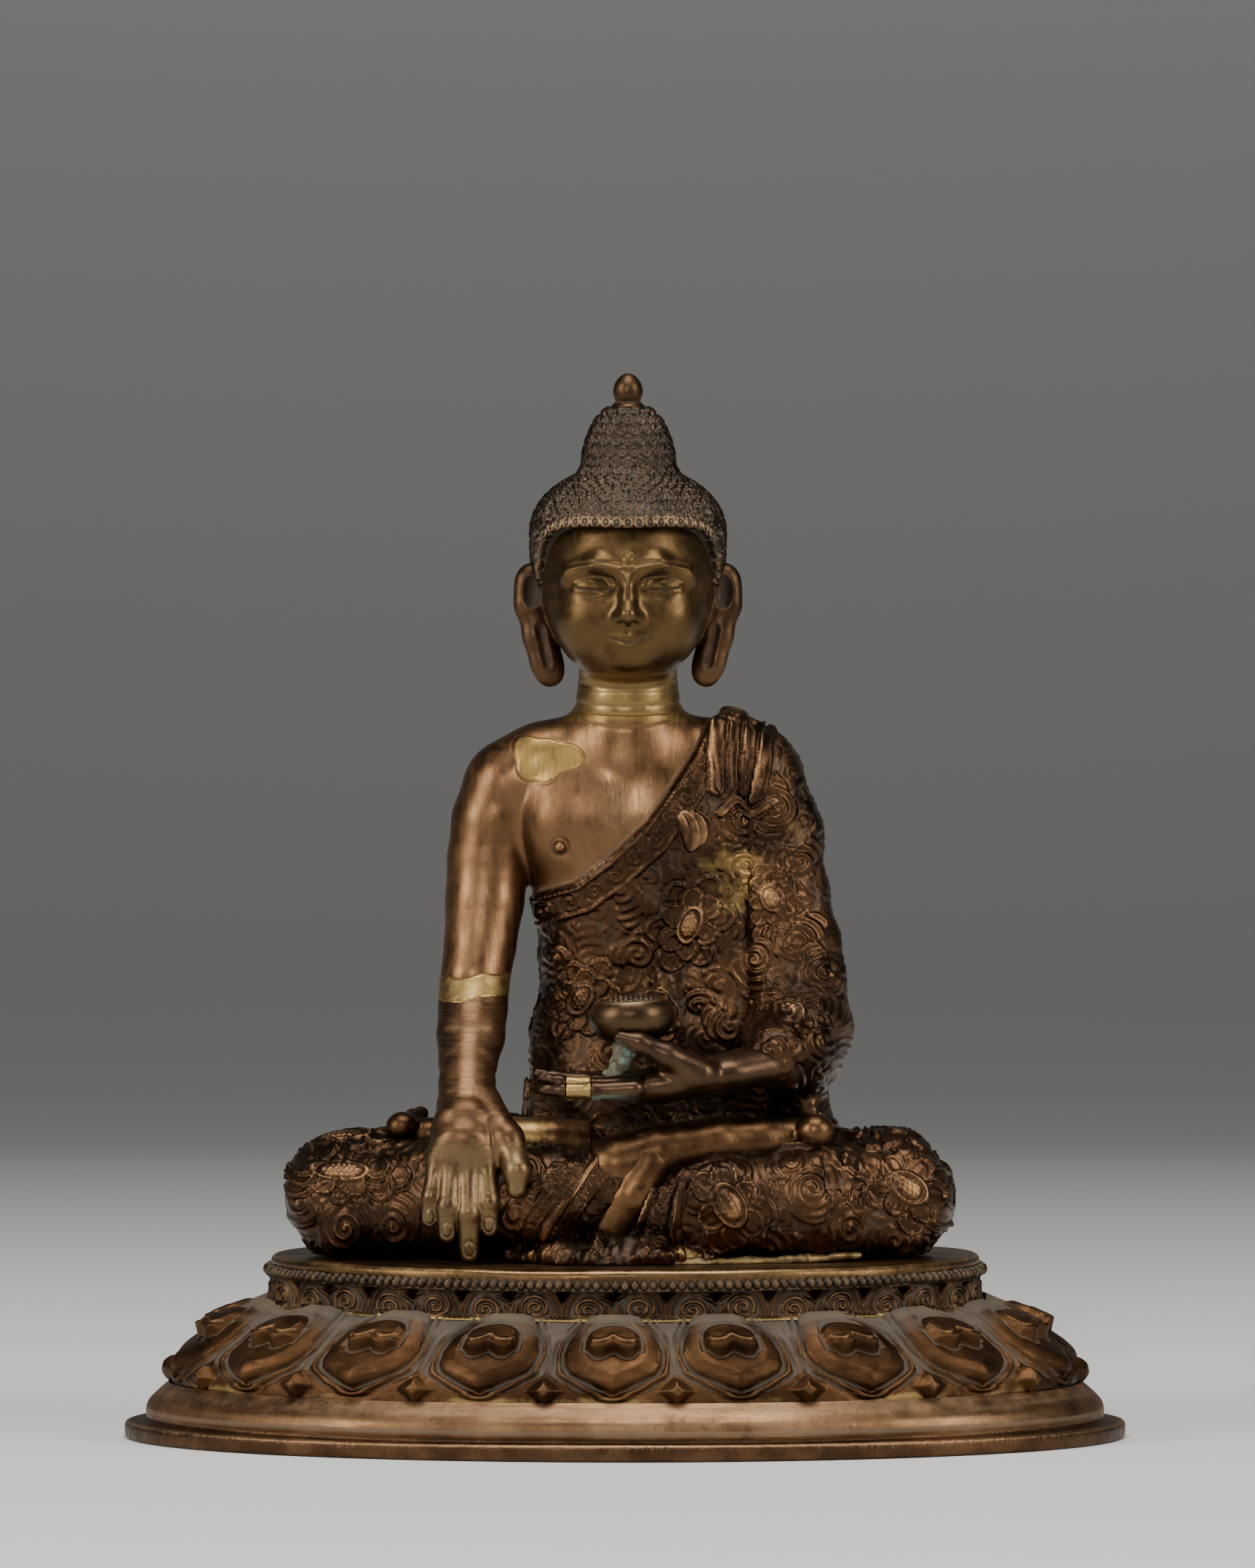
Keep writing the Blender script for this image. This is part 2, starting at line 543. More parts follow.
def stack(P, rows):
    """upright body from rows of z, half-width, half-depth, x-centre, y-centre"""
    rows = np.asarray(rows, float)
    zz = np.linspace(rows[0, 0], rows[-1, 0], 200)
    tab = [np.interp(zz, rows[:, 0], rows[:, i]) for i in range(1, 5)]
    for i in range(4):
        t = tab[i]
        for _ in range(14):
            t[1:-1] = 0.25 * t[:-2] + 0.5 * t[1:-1] + 0.25 * t[2:]
    a, b, cx, cy = [np.interp(P[:, 2], zz, t) for t in tab]
    qx, qy = (P[:, 0] - cx), (P[:, 1] - cy)
    k0 = np.sqrt((qx / a) ** 2 + (qy / b) ** 2)
    k1 = np.sqrt((qx / a ** 2) ** 2 + (qy / b ** 2) ** 2) + 1e-6
    f = np.where(k0 < 0.3, -0.7 * np.minimum(a, b), k0 * (k0 - 1) / k1)
    cap = np.maximum(rows[0, 0] - P[:, 2], P[:, 2] - rows[-1, 0])
    return np.maximum(f, cap)


def surface(f, lo, hi, h, margin=2.0):
    """polygons of f = 0 inside the box"""
    lo, hi = np.asarray(lo, float), np.asarray(hi, float)
    B = 8
    n = np.ceil((hi - lo) / h / B).astype(int)
    cc = np.stack(np.meshgrid(*[np.arange(k) for k in n], indexing="ij"), -1).reshape(-1, 3)
    cen = lo + (cc * B + B / 2 - 0.5) * h
    fv = f(cen)
    keep = np.abs(fv) < (B * h * 0.87 * 1.15 + margin)
    dense = np.where(fv.reshape(n) < 0, -3 * h, 3 * h).astype(np.float32)
    dense = np.repeat(np.repeat(np.repeat(dense, B, 0), B, 1), B, 2)
    loc = np.stack(np.meshgrid(*[np.arange(B)] * 3, indexing="ij"), -1).reshape(-1, 3)
    kb = cc[keep]
    for i in range(0, len(kb), 400):
        b = kb[i:i + 400]
        idx = (b[:, None, :] * B + loc[None]).reshape(-1, 3)
        v = np.clip(f(lo + idx * h), -3 * h, 3 * h)
        dense[idx[:, 0], idx[:, 1], idx[:, 2]] = v
    g = vdb.FloatGrid(3 * h)
    g.copyFromArray(dense)
    pts, _tris, quads = g.convertToPolygons(isovalue=0.0, adaptivity=0.0)
    pts = lo + np.asarray(pts, float) * h
    quads = np.asarray(quads, dtype=np.int64)
    nrm = vnormals(pts, quads)
    # outward check
    pick = np.random.default_rng(1).integers(0, len(pts), 4000)
    t = np.sign(f(pts[pick] + nrm[pick] * h) - f(pts[pick] - nrm[pick] * h))
    if np.mean(t) < 0:
        quads = quads[:, ::-1]
        nrm = -nrm
    return pts, quads, nrm


def relax(P, F, nrm, n=2):
    """takes the voxel steps out"""
    for _ in range(n):
        acc = np.zeros_like(P)
        cnt = np.zeros(len(P))
        for a, b in ((0, 1), (1, 2), (2, 3), (3, 0)):
            for ax in range(3):
                acc[:, ax] += np.bincount(F[:, a], weights=P[F[:, b], ax], minlength=len(P))
                acc[:, ax] += np.bincount(F[:, b], weights=P[F[:, a], ax], minlength=len(P))
            cnt += np.bincount(F[:, a], minlength=len(P)) + np.bincount(F[:, b], minlength=len(P))
        P = 0.4 * P + 0.6 * acc / np.maximum(cnt, 1)[:, None]
    return P


def finish_piece(name, P, F, nrm, h, attrs, mats, nodes, mat_index=None, relaxed=2):
    P = relax(P, F, nrm, relaxed)
    nrm = vnormals(P, F)
    if h is not None:
        P = P + nrm * h[:, None]
    base = {"hi": np.zeros(len(P)), "lo": np.zeros(len(P)), "gold": np.zeros(len(P))}
    base.update(attrs or {})
    ob = make_object(name, P, F, base)
    for m in mats:
        ob.data.materials.append(m)
    if mat_index is not None:
        ob.data.polygons.foreach_set("material_index", mat_index[F[:, 0]].astype(np.int32))
    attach(ob, "root")
    if nodes:
        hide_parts(*nodes)
    return ob


M_SKIN = metal("skin_copper", (0.14, 0.072, 0.034), (0.245, 0.13, 0.060), (0.44, 0.27, 0.14), (0.050, 0.034, 0.022), rough=(0.32, 0.48), mottle=4, brush=(900, 500, 60), spot=0.45, dust_gain=0.6, gold=(0.33, 0.205, 0.066), bump=0.00007)
M_FACE = metal("face_bronze", (0.095, 0.056, 0.023), (0.155, 0.092, 0.037), (0.36, 0.24, 0.11), (0.040, 0.027, 0.016), rough=(0.32, 0.46), mottle=5, spot=0.4, dust_gain=0.6, gold=(0.27, 0.175, 0.066), bump=0.00006, brush=(500, 60, 500))
M_EAR = metal("ear_patina", (0.05, 0.027, 0.016), (0.115, 0.064, 0.032), (0.32, 0.21, 0.095), (0.035, 0.024, 0.017), rough=(0.34, 0.5), mottle=9, spot=0.5, dust_gain=0.7)
M_ROBE = metal("robe_patina", (0.038, 0.021, 0.012), (0.106, 0.053, 0.026), (0.41, 0.22, 0.102), (0.088, 0.069, 0.048), rough=(0.27, 0.48), mottle=6, spot=0.3, dust_gain=0.7, rub_gain=0.95, gold=(0.36, 0.22, 0.074), bump=0.00016)
M_HAIR = metal("hair_patina", (0.042, 0.030, 0.021), (0.085, 0.058, 0.038), (0.38, 0.235, 0.12), (0.118, 0.103, 0.080), rough=(0.30, 0.5), mottle=8, spot=0.2, dust_gain=0.85, rub_gain=0.95)
M_HAND = metal("hand_copper", (0.095, 0.048, 0.026), (0.17, 0.092, 0.045), (0.36, 0.25, 0.135), (0.2, 0.16, 0.12), rough=(0.33, 0.48), mottle=5, brush=(90, 90, 1500), spot=0.3, gold=(0.235, 0.168, 0.080), bump=0.00007)
M_VERD = metal("verdigris_braze", (0.16, 0.13, 0.08), (0.28, 0.24, 0.15), (0.4, 0.35, 0.22), (0.3, 0.38, 0.33), mottle=20, verd=1.0, rough=(0.55, 0.8))


# ------------------------------------------------------------------ ornament drawn in the front view
CX0, CY0, CST = 380.0, 960.0, 1.5
CW, CH = int((1330 - CX0) / CST), int((1790 - CY0) / CST)
GX, GY = np.meshgrid(CX0 + np.arange(CW) * CST, CY0 + np.arange(CH) * CST)
HGT = np.zeros((CH, CW))
USED = np.zeros((CH, CW))


def window(x, y, r):
    i0, i1 = max(0, int((x - r - CX0) / CST)), min(CW, int((x + r - CX0) / CST) + 2)
    j0, j1 = max(0, int((y - r - CY0) / CST)), min(CH, int((y + r - CY0) / CST) + 2)
    return slice(j0, j1), slice(i0, i1)


def put(sl, h, m):
    """lays h over what is there, where m is 1"""
    HGT[sl] = HGT[sl] * (1 - m) + h * m
    USED[sl] = np.maximum(USED[sl], m)


def spiral(x, y, r, turns=1.6, rot=0.0, hand=1, tail=True, lift=1.0):
    """a curling scroll of several strands, its eye off centre, with a tail that sweeps away"""
    sl = window(x, y, r * 1.9)
    ox, oy = 0.22 * r * math.cos(rot * 3.1), 0.22 * r * math.sin(rot * 2.3)
    dx, dy = GX[sl] - x, GY[sl] - y
    ex, ey = dx + ox, dy + oy
    rr = np.hypot(ex, ey)
    th = np.arctan2(ey * hand, ex) + rot
    pitch = 12.0 if r > 17 else 9.0
    ph = rr / pitch - th / TAU
    fr = ph - np.floor(ph)
    ridge = np.sin(fr * math.pi) ** 0.7
    fine = 0.13 * np.cos(TAU * fr * 2)
    ta = np.arctan2(dy * hand, dx) + rot
    swell = 0.24 * np.cos(ta * 2 + 0.8) + 0.12 * np.cos(ta * 3 + rot * 5)
    edge = r * (0.92 + swell) + (r * 0.95 * np.exp(-((np.mod(ta + 0.4, TAU) - 0.8) / 0.55) ** 2) if tail else 0.0)
    d = np.hypot(dx, dy)
    out = edge - d
    m = ss(-1.2, 1.2, out)
    rim = 0.25 * bell(out - 3.2, 2.2)
    h = lift * (0.30 + 0.62 * ridge + fine + rim) * (0.62 + 0.38 * ss(edge, edge * 0.3, d)) + 0.25 * bell(rr, 3.5)
    put(sl, np.where(out < 0, 0.05, h), ss(-3.4, -0.6, out))
    put(sl, h, m)


def leaf(x, y, L, w, ang, veins=3.5, h0=0.95):
    sl = window(x, y, L)
    dx, dy = GX[sl] - x, GY[sl] - y
    c, s = math.cos(ang), math.sin(ang)
    u, v = (dx * c + dy * s) / (L / 2), (-dx * s + dy * c)
    v = v - 0.25 * w * u * u
    half = w / 2 * np.sqrt(np.clip(1 - u * u, 0, 1)) * (1 - 0.25 * u)
    m = ss(0, 1.8, half - np.abs(v)) * (np.abs(u) < 1)
    near = half - np.abs(v)
    h = h0 * (0.50 + 0.42 * np.sqrt(np.clip(1 - (v / np.maximum(half, 1e-3)) ** 2, 0, 1))) - 0.22 * bell(v, 1.4) + 0.14 * np.cos(v / w * TAU * veins) + 0.22 * bell(near - 3.0, 1.6)
    out = ss(-3.2, -0.5, near) * (np.abs(u) < 1.08)
    put(sl, np.full(h.shape, 0.02), out)
    put(sl, h, m)


def pod(x, y, a, b, ang, seeds=True):
    sl = window(x, y, a + 6)
    dx, dy = GX[sl] - x, GY[sl] - y
    c, s = math.cos(ang), math.sin(ang)
    u, v = (dx * c + dy * s), (-dx * s + dy * c)
    e = np.sqrt((u / a) ** 2 + (v / b) ** 2)
    m = ss(1.12, 1.02, e)
    h = 0.55 + 0.75 * np.sqrt(np.clip(1 - (e * 0.8) ** 2, 0, 1)) * 0.9
    h = h + 0.3 * bell(e - 0.93, 0.07) - 0.45 * bell(e - 0.78, 0.06)
    if seeds:
        p = 7.2
        uu, vv = u / p, v / (p * 0.86)
        row = np.round(vv)
        uu2 = uu - 0.5 * (row % 2)
        q = np.hypot(uu2 - np.round(uu2), (vv - row) * 0.86)
        h = h + (0.34 * np.clip(1 - (q / 0.42) ** 2, 0, 1) - 0.12) * (e < 0.68)
    put(sl, h, m)


def lotus(x, y, a, b, ang, n=9, petal=1.0, rings=1):
    for k in range(rings, 0, -1):
        for i in range(n):
            t = TAU * (i + 0.5 * (k % 2)) / n
            c, s = math.cos(ang), math.sin(ang)
            rr = 1.0 + 0.55 * petal * (k)
            px_, py_ = a * rr * math.cos(t), b * rr * math.sin(t)
            tx, ty = px_ * c - py_ * s, px_ * s + py_ * c
            dirn = math.atan2(ty, tx)
            leaf(x + tx, y + ty, (a + b) * 0.80 * petal, (a + b) * 0.52 * petal, dirn, h0=1.05)
    pod(x, y, a, b, ang)


def band(pts, half, pitch=17.0, line=0.9):
    """a worked border along a line: beads at the edges and running scrolls between"""
    pts = np.asarray(pts, float)
    lo = pts.min(0) - half - 6
    hi = pts.max(0) + half + 6
    i0, i1 = max(0, int((lo[0] - CX0) / CST)), min(CW, int((hi[0] - CX0) / CST) + 1)
    j0, j1 = max(0, int((lo[1] - CY0) / CST)), min(CH, int((hi[1] - CY0) / CST) + 1)
    sl = (slice(j0, j1), slice(i0, i1))
    X, Y = GX[sl], GY[sl]
    best = np.full(X.shape, 1e9)
    S = np.zeros(X.shape)
    D = np.zeros(X.shape)
    acc = 0.0
    for k in range(len(pts) - 1):
        a, b = pts[k], pts[k + 1]
        d = b - a
        L = np.hypot(*d)
        t = np.clip(((X - a[0]) * d[0] + (Y - a[1]) * d[1]) / L ** 2, 0, 1)
        qx, qy = X - a[0] - t * d[0], Y - a[1] - t * d[1]
        r = np.hypot(qx, qy)
        sd = np.sign(d[0] * qy - d[1] * qx) * r
        mm = r < best
        best = np.where(mm, r, best)
        S = np.where(mm, acc + t * L, S)
        D = np.where(mm, sd, D)
        acc += L
    m = ss(half + 1.0, half - 1.0, best)
    cell = np.floor(S / pitch)
    u = S - (cell + 0.5) * pitch
    alt = np.where(cell % 2 == 0, 1.0, -1.0)
    r = np.hypot(u, D)
    th = np.arctan2(D * alt, u)
    core = half * 0.66
    sp = np.cos(TAU * (r / (core * 0.62) - th / TAU)) * ss(core * 1.35, core * 0.9, r)
    beads = bell(best - half * 0.86, 2.0) * (0.72 + 0.28 * np.cos(S * TAU / 6.5))
    h = 0.62 + 0.42 * sp + 0.72 * beads * line - 0.35 * bell(best - half * 0.68, 1.5)
    put(sl, h, m)


def carpet(mask, rmin, rmax, n, seed, lift):
    """overlapping low scrolls laid one over another until no ground is left"""
    r_ = np.random.default_rng(seed)
    jj, ii = np.nonzero(mask)
    for k in range(n):
        q = r_.integers(0, len(jj))
        rad = rmin + (rmax - rmin) * r_.random() ** 1.4
        spiral(GX[jj[q], ii[q]], GY[jj[q], ii[q]], rad, rot=r_.random() * TAU, hand=1 if r_.random() < 0.5 else -1, tail=r_.random() < 0.7, lift=lift * (0.7 + 0.5 * r_.random()))


def strip(pts, half, h0=0.95, rib=0.0):
    """a smooth fold of cloth with rolled edges"""
    pts = np.asarray(pts, float)
    lo = pts.min(0) - half - 6
    hi = pts.max(0) + half + 6
    i0, i1 = max(0, int((lo[0] - CX0) / CST)), min(CW, int((hi[0] - CX0) / CST) + 1)
    j0, j1 = max(0, int((lo[1] - CY0) / CST)), min(CH, int((hi[1] - CY0) / CST) + 1)
    sl = (slice(j0, j1), slice(i0, i1))
    X, Y = GX[sl], GY[sl]
    best = np.full(X.shape, 1e9)
    D = np.zeros(X.shape)
    S = np.zeros(X.shape)
    acc = 0.0
    for k in range(len(pts) - 1):
        a, b = pts[k], pts[k + 1]
        d = b - a
        L = np.hypot(*d)
        t = np.clip(((X - a[0]) * d[0] + (Y - a[1]) * d[1]) / L ** 2, 0, 1)
        qx, qy = X - a[0] - t * d[0], Y - a[1] - t * d[1]
        r = np.hypot(qx, qy)
        mm = r < best
        best = np.where(mm, r, best)
        D = np.where(mm, np.sign(d[0] * qy - d[1] * qx) * r, D)
        S = np.where(mm, acc + t * L, S)
        acc += L
    m = ss(half + 1.0, half - 1.0, best)
    put(sl, np.full(X.shape, 0.0), ss(half + 4.0, half + 1.0, best))
    h = h0 * (0.75 + 0.25 * D / half) + 0.35 * bell(best - half + 3.0, 2.0) + rib * np.cos(S * TAU / 7.0) * bell(D, half * 0.6)
    put(sl, h, m)


def inside(poly):
    """mask of the canvas inside a polygon"""
    poly = np.asarray(poly, float)
    c = np.zeros(GX.shape, bool)
    n = len(poly)
    for i in range(n):
        x1, y1 = poly[i]
        x2, y2 = poly[(i + 1) % n]
        cond = ((y1 > GY) != (y2 > GY)) & (GX < (x2 - x1) * (GY - y1) / (y2 - y1 + 1e-9) + x1)
        c ^= cond
    return c


EDGE = [(1000, 968), (974, 995), (956, 1031), (928, 1074), (889, 1130), (837, 1177), (790, 1213), (734, 1229), (700, 1236)]


def flower(x, y, a, b, ang, n=7, size=1.0):
    """open lotus: two rings of broad cupped petals round a tilted seed head"""
    c, s = math.cos(ang), math.sin(ang)
    for k, (rr, ps) in enumerate(((1.95, 1.0), (1.35, 0.86))):
        for i in range(n):
            t = TAU * (i + 0.5 * k) / n
            px_, py_ = a * rr * math.cos(t), b * rr * math.sin(t)
            tx, ty = px_ * c - py_ * s, px_ * s + py_ * c
            d = math.atan2(ty, tx)
            w = (a + b) * 0.58 * ps * size
            sl = window(x + tx, y + ty, w * 1.3)
            dx, dy = GX[sl] - x - tx, GY[sl] - y - ty
            u = (dx * math.cos(d) + dy * math.sin(d)) / (w * 0.78)
            v = (-dx * math.sin(d) + dy * math.cos(d)) / (w * 0.72)
            e = np.sqrt(u * u + v * v + 0.25 * np.clip(u, 0, 2) * v * v)
            h = 0.62 + 0.42 * e ** 2 - 0.35 * bell(e - 0.74, 0.10) + 0.30 * bell(e - 0.90, 0.09) - 0.16 * bell(v, 0.10) * (u > -0.4) + 0.05 * np.cos(v * 16)
            put(sl, np.full(h.shape, -0.05), ss(1.22, 1.04, e))
            put(sl, h * (0.92 + 0.16 * k), ss(1.04, 0.96, e))
    pod(x, y, a, b, ang)


def paint_robe():
    torso = inside([(734, 1232), (790, 1216), (837, 1180), (889, 1133), (928, 1077), (956, 1034), (974, 1000), (1040, 1000), (1110, 1060), (1190, 1400), (1190, 1480), (1160, 1560), (690, 1560), (730, 1420)])
    legs = inside([(385, 1550), (560, 1530), (700, 1530), (860, 1540), (880, 1560), (960, 1560), (1120, 1560), (1180, 1545), (1325, 1580), (1325, 1780), (385, 1780)])
    carpet(torso, 15, 34, 420, 11, 0.42)
    carpet(legs, 15, 36, 420, 12, 0.38)
    for (x, y, r, h) in ((1012, 1135, 34, 1), (1066, 1120, 32, -1), (1100, 1180, 26, 1), (1020, 1196, 28, -1), (1100, 1290, 34, 1), (1035, 1325, 30, -1),
                         (1125, 1345, 26, 1), (860, 1225, 27, 1), (870, 1310, 27, -1), (905, 1385, 27, 1), (970, 1385, 25, -1), (1000, 1420, 24, 1),
                         (838, 1440, 22, -1), (770, 1320, 22, 1), (1128, 1430, 26, -1), (1055, 1450, 24, 1), (1110, 1640, 40, -1), (1160, 1695, 32, 1),
                         (1170, 1590, 30, 1), (1085, 1600, 26, -1), (1230, 1708, 24, -1), (1060, 1712, 24, 1), (540, 1600, 32, 1), (550, 1680, 36, -1), (415, 1660, 28, 1),
                         (730, 1610, 28, 1), (770, 1650, 26, -1), (715, 1675, 30, 1), (690, 1570, 24, -1), (1290, 1660, 22, 1), (1185, 1645, 24, -1)):
        spiral(x, y, r, rot=x * 0.7, hand=h)
    spiral(468, 1692, 40, rot=1.0)
    # large flowers that carry the design
    flower(948, 1270, 27, 19, math.radians(-62), n=6)
    flower(801, 1374, 24, 15, math.radians(-58), n=6)
    flower(1085, 1393, 20, 13, math.radians(20), n=6)
    flower(1062, 1235, 19, 13, math.radians(70), n=6)
    flower(470, 1612, 40, 13, math.radians(4), n=8, size=0.85)
    flower(1001, 1658, 30, 19, math.radians(58), n=6)
    flower(1246, 1634, 28, 18, math.radians(35), n=6)
    # border of the robe across the chest
    mid = [(x + 15, y + 22) for x, y in EDGE[1:-1]]
    band([(996, 985)] + mid + [(722, 1258)], 19, pitch=36)
    # pleats over the left shoulder, their ends in a zigzag
    for i, x0 in enumerate((1046, 1022, 1000, 980)):
        yb = 1112 - (i % 2) * 26
        strip([(x0 + 8, 984), (x0 + 3, 1040), (x0 - 6 + 3 * i, yb)], 11.5, h0=1.15)
    strip([(986, 1118), (1008, 1098), (1034, 1120), (1062, 1102)], 6.5, h0=1.35)
    leaf(954, 1141, 56, 42, math.radians(82), h0=1.35)
    # hems on the legs
    band([(704, 1738), (730, 1680), (776, 1620), (822, 1562)], 12, pitch=22)
    band([(742, 1742), (768, 1690), (812, 1634), (856, 1584)], 9, pitch=18)
    strip([(724, 1742), (750, 1686), (796, 1626), (842, 1566)], 5.5, h0=0.95)
    band([(940, 1588), (914, 1640), (900, 1690), (912, 1738)], 13, pitch=24)
    strip([(922, 1588), (896, 1640), (880, 1690), (892, 1738)], 5.5, h0=0.95)
    strip([(962, 1590), (940, 1640), (928, 1690), (938, 1738)], 5.5, h0=0.95)
    strip([(1150, 1562), (1060, 1572), (1000, 1586), (950, 1604)], 5.5, h0=0.9)
    band([(1020, 1436), (1036, 1465), (1042, 1496)], 9, pitch=14)


paint_robe()
_rp = np.random.default_rng(5)
# grained ground: small punched dots
_gr = np.cos(GX * 1.05 + 1.7 * np.sin(GY * 0.33)) * np.cos(GY * 1.02 + 1.7 * np.sin(GX * 0.29))
GROUND = 0.30 + 0.15 * _gr
RELIEF = HGT * USED + GROUND * (1 - USED) + 0.05 * _gr
for _ in range(1):
    RELIEF[1:-1, 1:-1] = 0.5 * RELIEF[1:-1, 1:-1] + 0.125 * (RELIEF[:-2, 1:-1] + RELIEF[2:, 1:-1] + RELIEF[1:-1, :-2] + RELIEF[1:-1, 2:])


def sample(img, u, v):
    x = np.clip((u - CX0) / CST, 0, CW - 1.001)
    y = np.clip((v - CY0) / CST, 0, CH - 1.001)
    i, j = x.astype(int), y.astype(int)
    fx, fy = x - i, y - j
    return (img[j, i] * (1 - fx) * (1 - fy) + img[j, i + 1] * fx * (1 - fy) + img[j + 1, i] * (1 - fx) * fy + img[j + 1, i + 1] * fx * fy)


def robe_relief(P, nrm, amp=1.45, ymid=6.0):
    """height and masks of the worked cloth at points P; the sides carry the same work wrapped round"""
    u, v = front_uv(P)
    facing = -nrm[:, 1]
    # on flanks, slide the pattern along depth so that it isn't drawn out
    side = np.abs(nrm[:, 0])
    uu = u - np.sign(P[:, 0]) * np.clip(P[:, 1] - ymid, 0, 26) / 0.15
    back = ss(-0.1, 0.35, nrm[:, 1])
    top = ss(0.6, 0.95, np.abs(nrm[:, 2]))
    h1 = sample(RELIEF, uu, v)
    h2 = sample(RELIEF, np.clip(1725 - u + 60, CX0 + 5, 1320), np.clip(v, CY0 + 60, 1770))
    h3 = sample(RELIEF, u, np.clip(1650 + P[:, 1] / 0.15 * 0.6, 1560, 1720))
    h = h1 * (1 - back) + h2 * back
    h = h * (1 - top) + h3 * top
    h = h * (1 - 0.4 * ss(0.88, 1.0, side))
    hi = np.clip((h - 0.70) / 0.55, 0, 1)
    lo = np.clip((0.36 - h) / 0.42, 0, 1)
    low_leg = ss(50, 42, P[:, 2])
    n = smooth_noise(P, 18.0, 21, 2)
    gold = np.zeros(len(P))
    for (x, y, rx, ry, s) in ((1045, 1160, 62, 52, 0.85), (1010, 1230, 40, 60, 0.6), (902, 1358, 30, 26, 0.8), (978, 1355, 17, 26, 0.9), (1085, 1330, 45, 60, 0.45), (930, 1726, 90, 12, 0.9), (450, 1725, 40, 14, 0.5), (960, 1200, 22, 20, 0.6), (1140, 1715, 40, 14, 0.4)):
        gold += s * np.exp(-(((u - x) / rx) ** 2 + ((v - y) / ry) ** 2)) * (facing > 0)
    gold = np.clip(gold * (0.75 + 0.5 * n) * (0.62 + 0.5 * hi + 0.2 * lo), 0, 1)
    lump = smooth_noise(P, 15.0, 33, 2)
    return h * amp + 0.5 * lump, {"hi": hi * (0.72 + 0.4 * n) + 0.18 * low_leg, "lo": lo * (0.85 - 0.25 * n), "gold": gold}


# ------------------------------------------------------------------ torso and right upper arm
TORSO = [(54, 27, 18, 0.6, 10), (62, 28, 18, 0.6, 10), (70, 26.2, 16.5, 0.6, 10), (75, 22.6, 15, 0.6, 9.8), (80, 20.0, 13.6, 0.6, 9.2), (87, 17.6, 12.4, 0.6, 8.8),
         (92.5, 16.6, 12.0, 0.6, 8.5), (99, 16.8, 12.0, 0.6, 8), (104, 17.4, 12.4, 0.6, 7.6), (112, 19.6, 13.2, 0.6, 7), (120, 21.8, 14.0, 0.6, 6.4),
         (128, 22.8, 14.0, 0.6, 6.2), (134, 22.6, 13.2, 0.6, 6.2), (140, 20.0, 11.8, 0.6, 6.0), (145, 14.0, 9.8, 0.6, 5.4), (149, 10.6, 8.9, 0.6, 4.8), (153, 9.7, 8.8, 0.6, 4.4)]
R_ARM = [(Q(728, 1064, -7), 8.0), (Q(694, 1087, -7), 8.8), (Q(679, 1128, -6.5), 8.7), (Q(671, 1180, -6), 8.4), (Q(666, 1240, -4.5), 8.1), (Q(660, 1300, -2), 7.4), (Q(653, 1345, 1), 7.2)]
SHOULDER_L = [(Q(1000, 1036, -7), 9.4), (Q(1040, 1058, -7), 9.8)]


def edge_side(P):
    """positive on the robe's side of its upper edge, in mm"""
    u, v = front_uv(P)
    x = np.array([e[0] for e in EDGE][::-1], float)
    y = np.array([e[1] for e in EDGE][::-1], float)
    return (v - np.interp(u, x, y, left=1240, right=900)) * 0.15 * 0.72


def f_torso(P):
    t = stack(P, TORSO)
    t = smin(t, chain(P, [((-3.0, 5.4, 142.0), 7.6), (Q(746, 1052, -6.5), 8.2), (Q(712, 1070, -7), 8.6)], 3), 3)
    t = smin(t, chain(P, [((4.0, 5.4, 142.0), 7.6), (Q(990, 1050, -7), 8.6), (Q(1036, 1070, -7), 8.8)], 3), 3)
    t = smin(t, union([cone(P, (-6.4, 5.6, 144.6), (-25.0, 6.8, 136.4), 5.5, 6.2), cone(P, (7.6, 5.6, 144.6), (26.0, 6.8, 136.8), 5.5, 6.4), cone(P, (HX, 4.8, 141.0), (HX, 4.4, 156.0), 10.8, 9.9)], 2.2), 2.8)
    arm = chain(P, R_ARM, 0.6)
    # chest and belly
    t = smin(t, ell(P, (-10.0, 0.6, 127.5), (10.6, 8.0, 9.6)), 6)
    t = smin(t, ell(P, (11.4, 0.6, 127.5), (10.6, 8.0, 9.6)), 6)
    # cloth bridging the body and the left arm
    t = smin(t, ell(P, (20.0, 6.0, 112.0), (9.0, 10.5, 30.0)), 4)
    t = smin(t, ell(P, (22.0, 6.0, 82.0), (12.0, 11.0, 24.0)), 4)
    f = smin(t, arm, 2.2)
    nip = Q(769, 1165, 8.2)
    f = smin(f, ell(P, (nip[0], -7.9, nip[2]), (1.25, 1.2, 1.25)), 0.8)
    # shoulder blades and spine
    f = smin(f, ell(P, (-10, 14.5, 130), (8, 5, 10)), 4)
    f = smin(f, ell(P, (11, 14.5, 130), (8, 5, 10)), 4)
    return f


def torso_full(P):
    f = f_torso(P)
    e = edge_side(P)
    # the robe lies over the body with a thickness of its own
    arm = chain(P, R_ARM, 3)
    on_arm = ss(2.2, 0.2, arm) * (P[:, 0] < -12)
    robe = ss(-0.25, 0.25, e) * (1 - on_arm)
    return f - 1.0 * robe


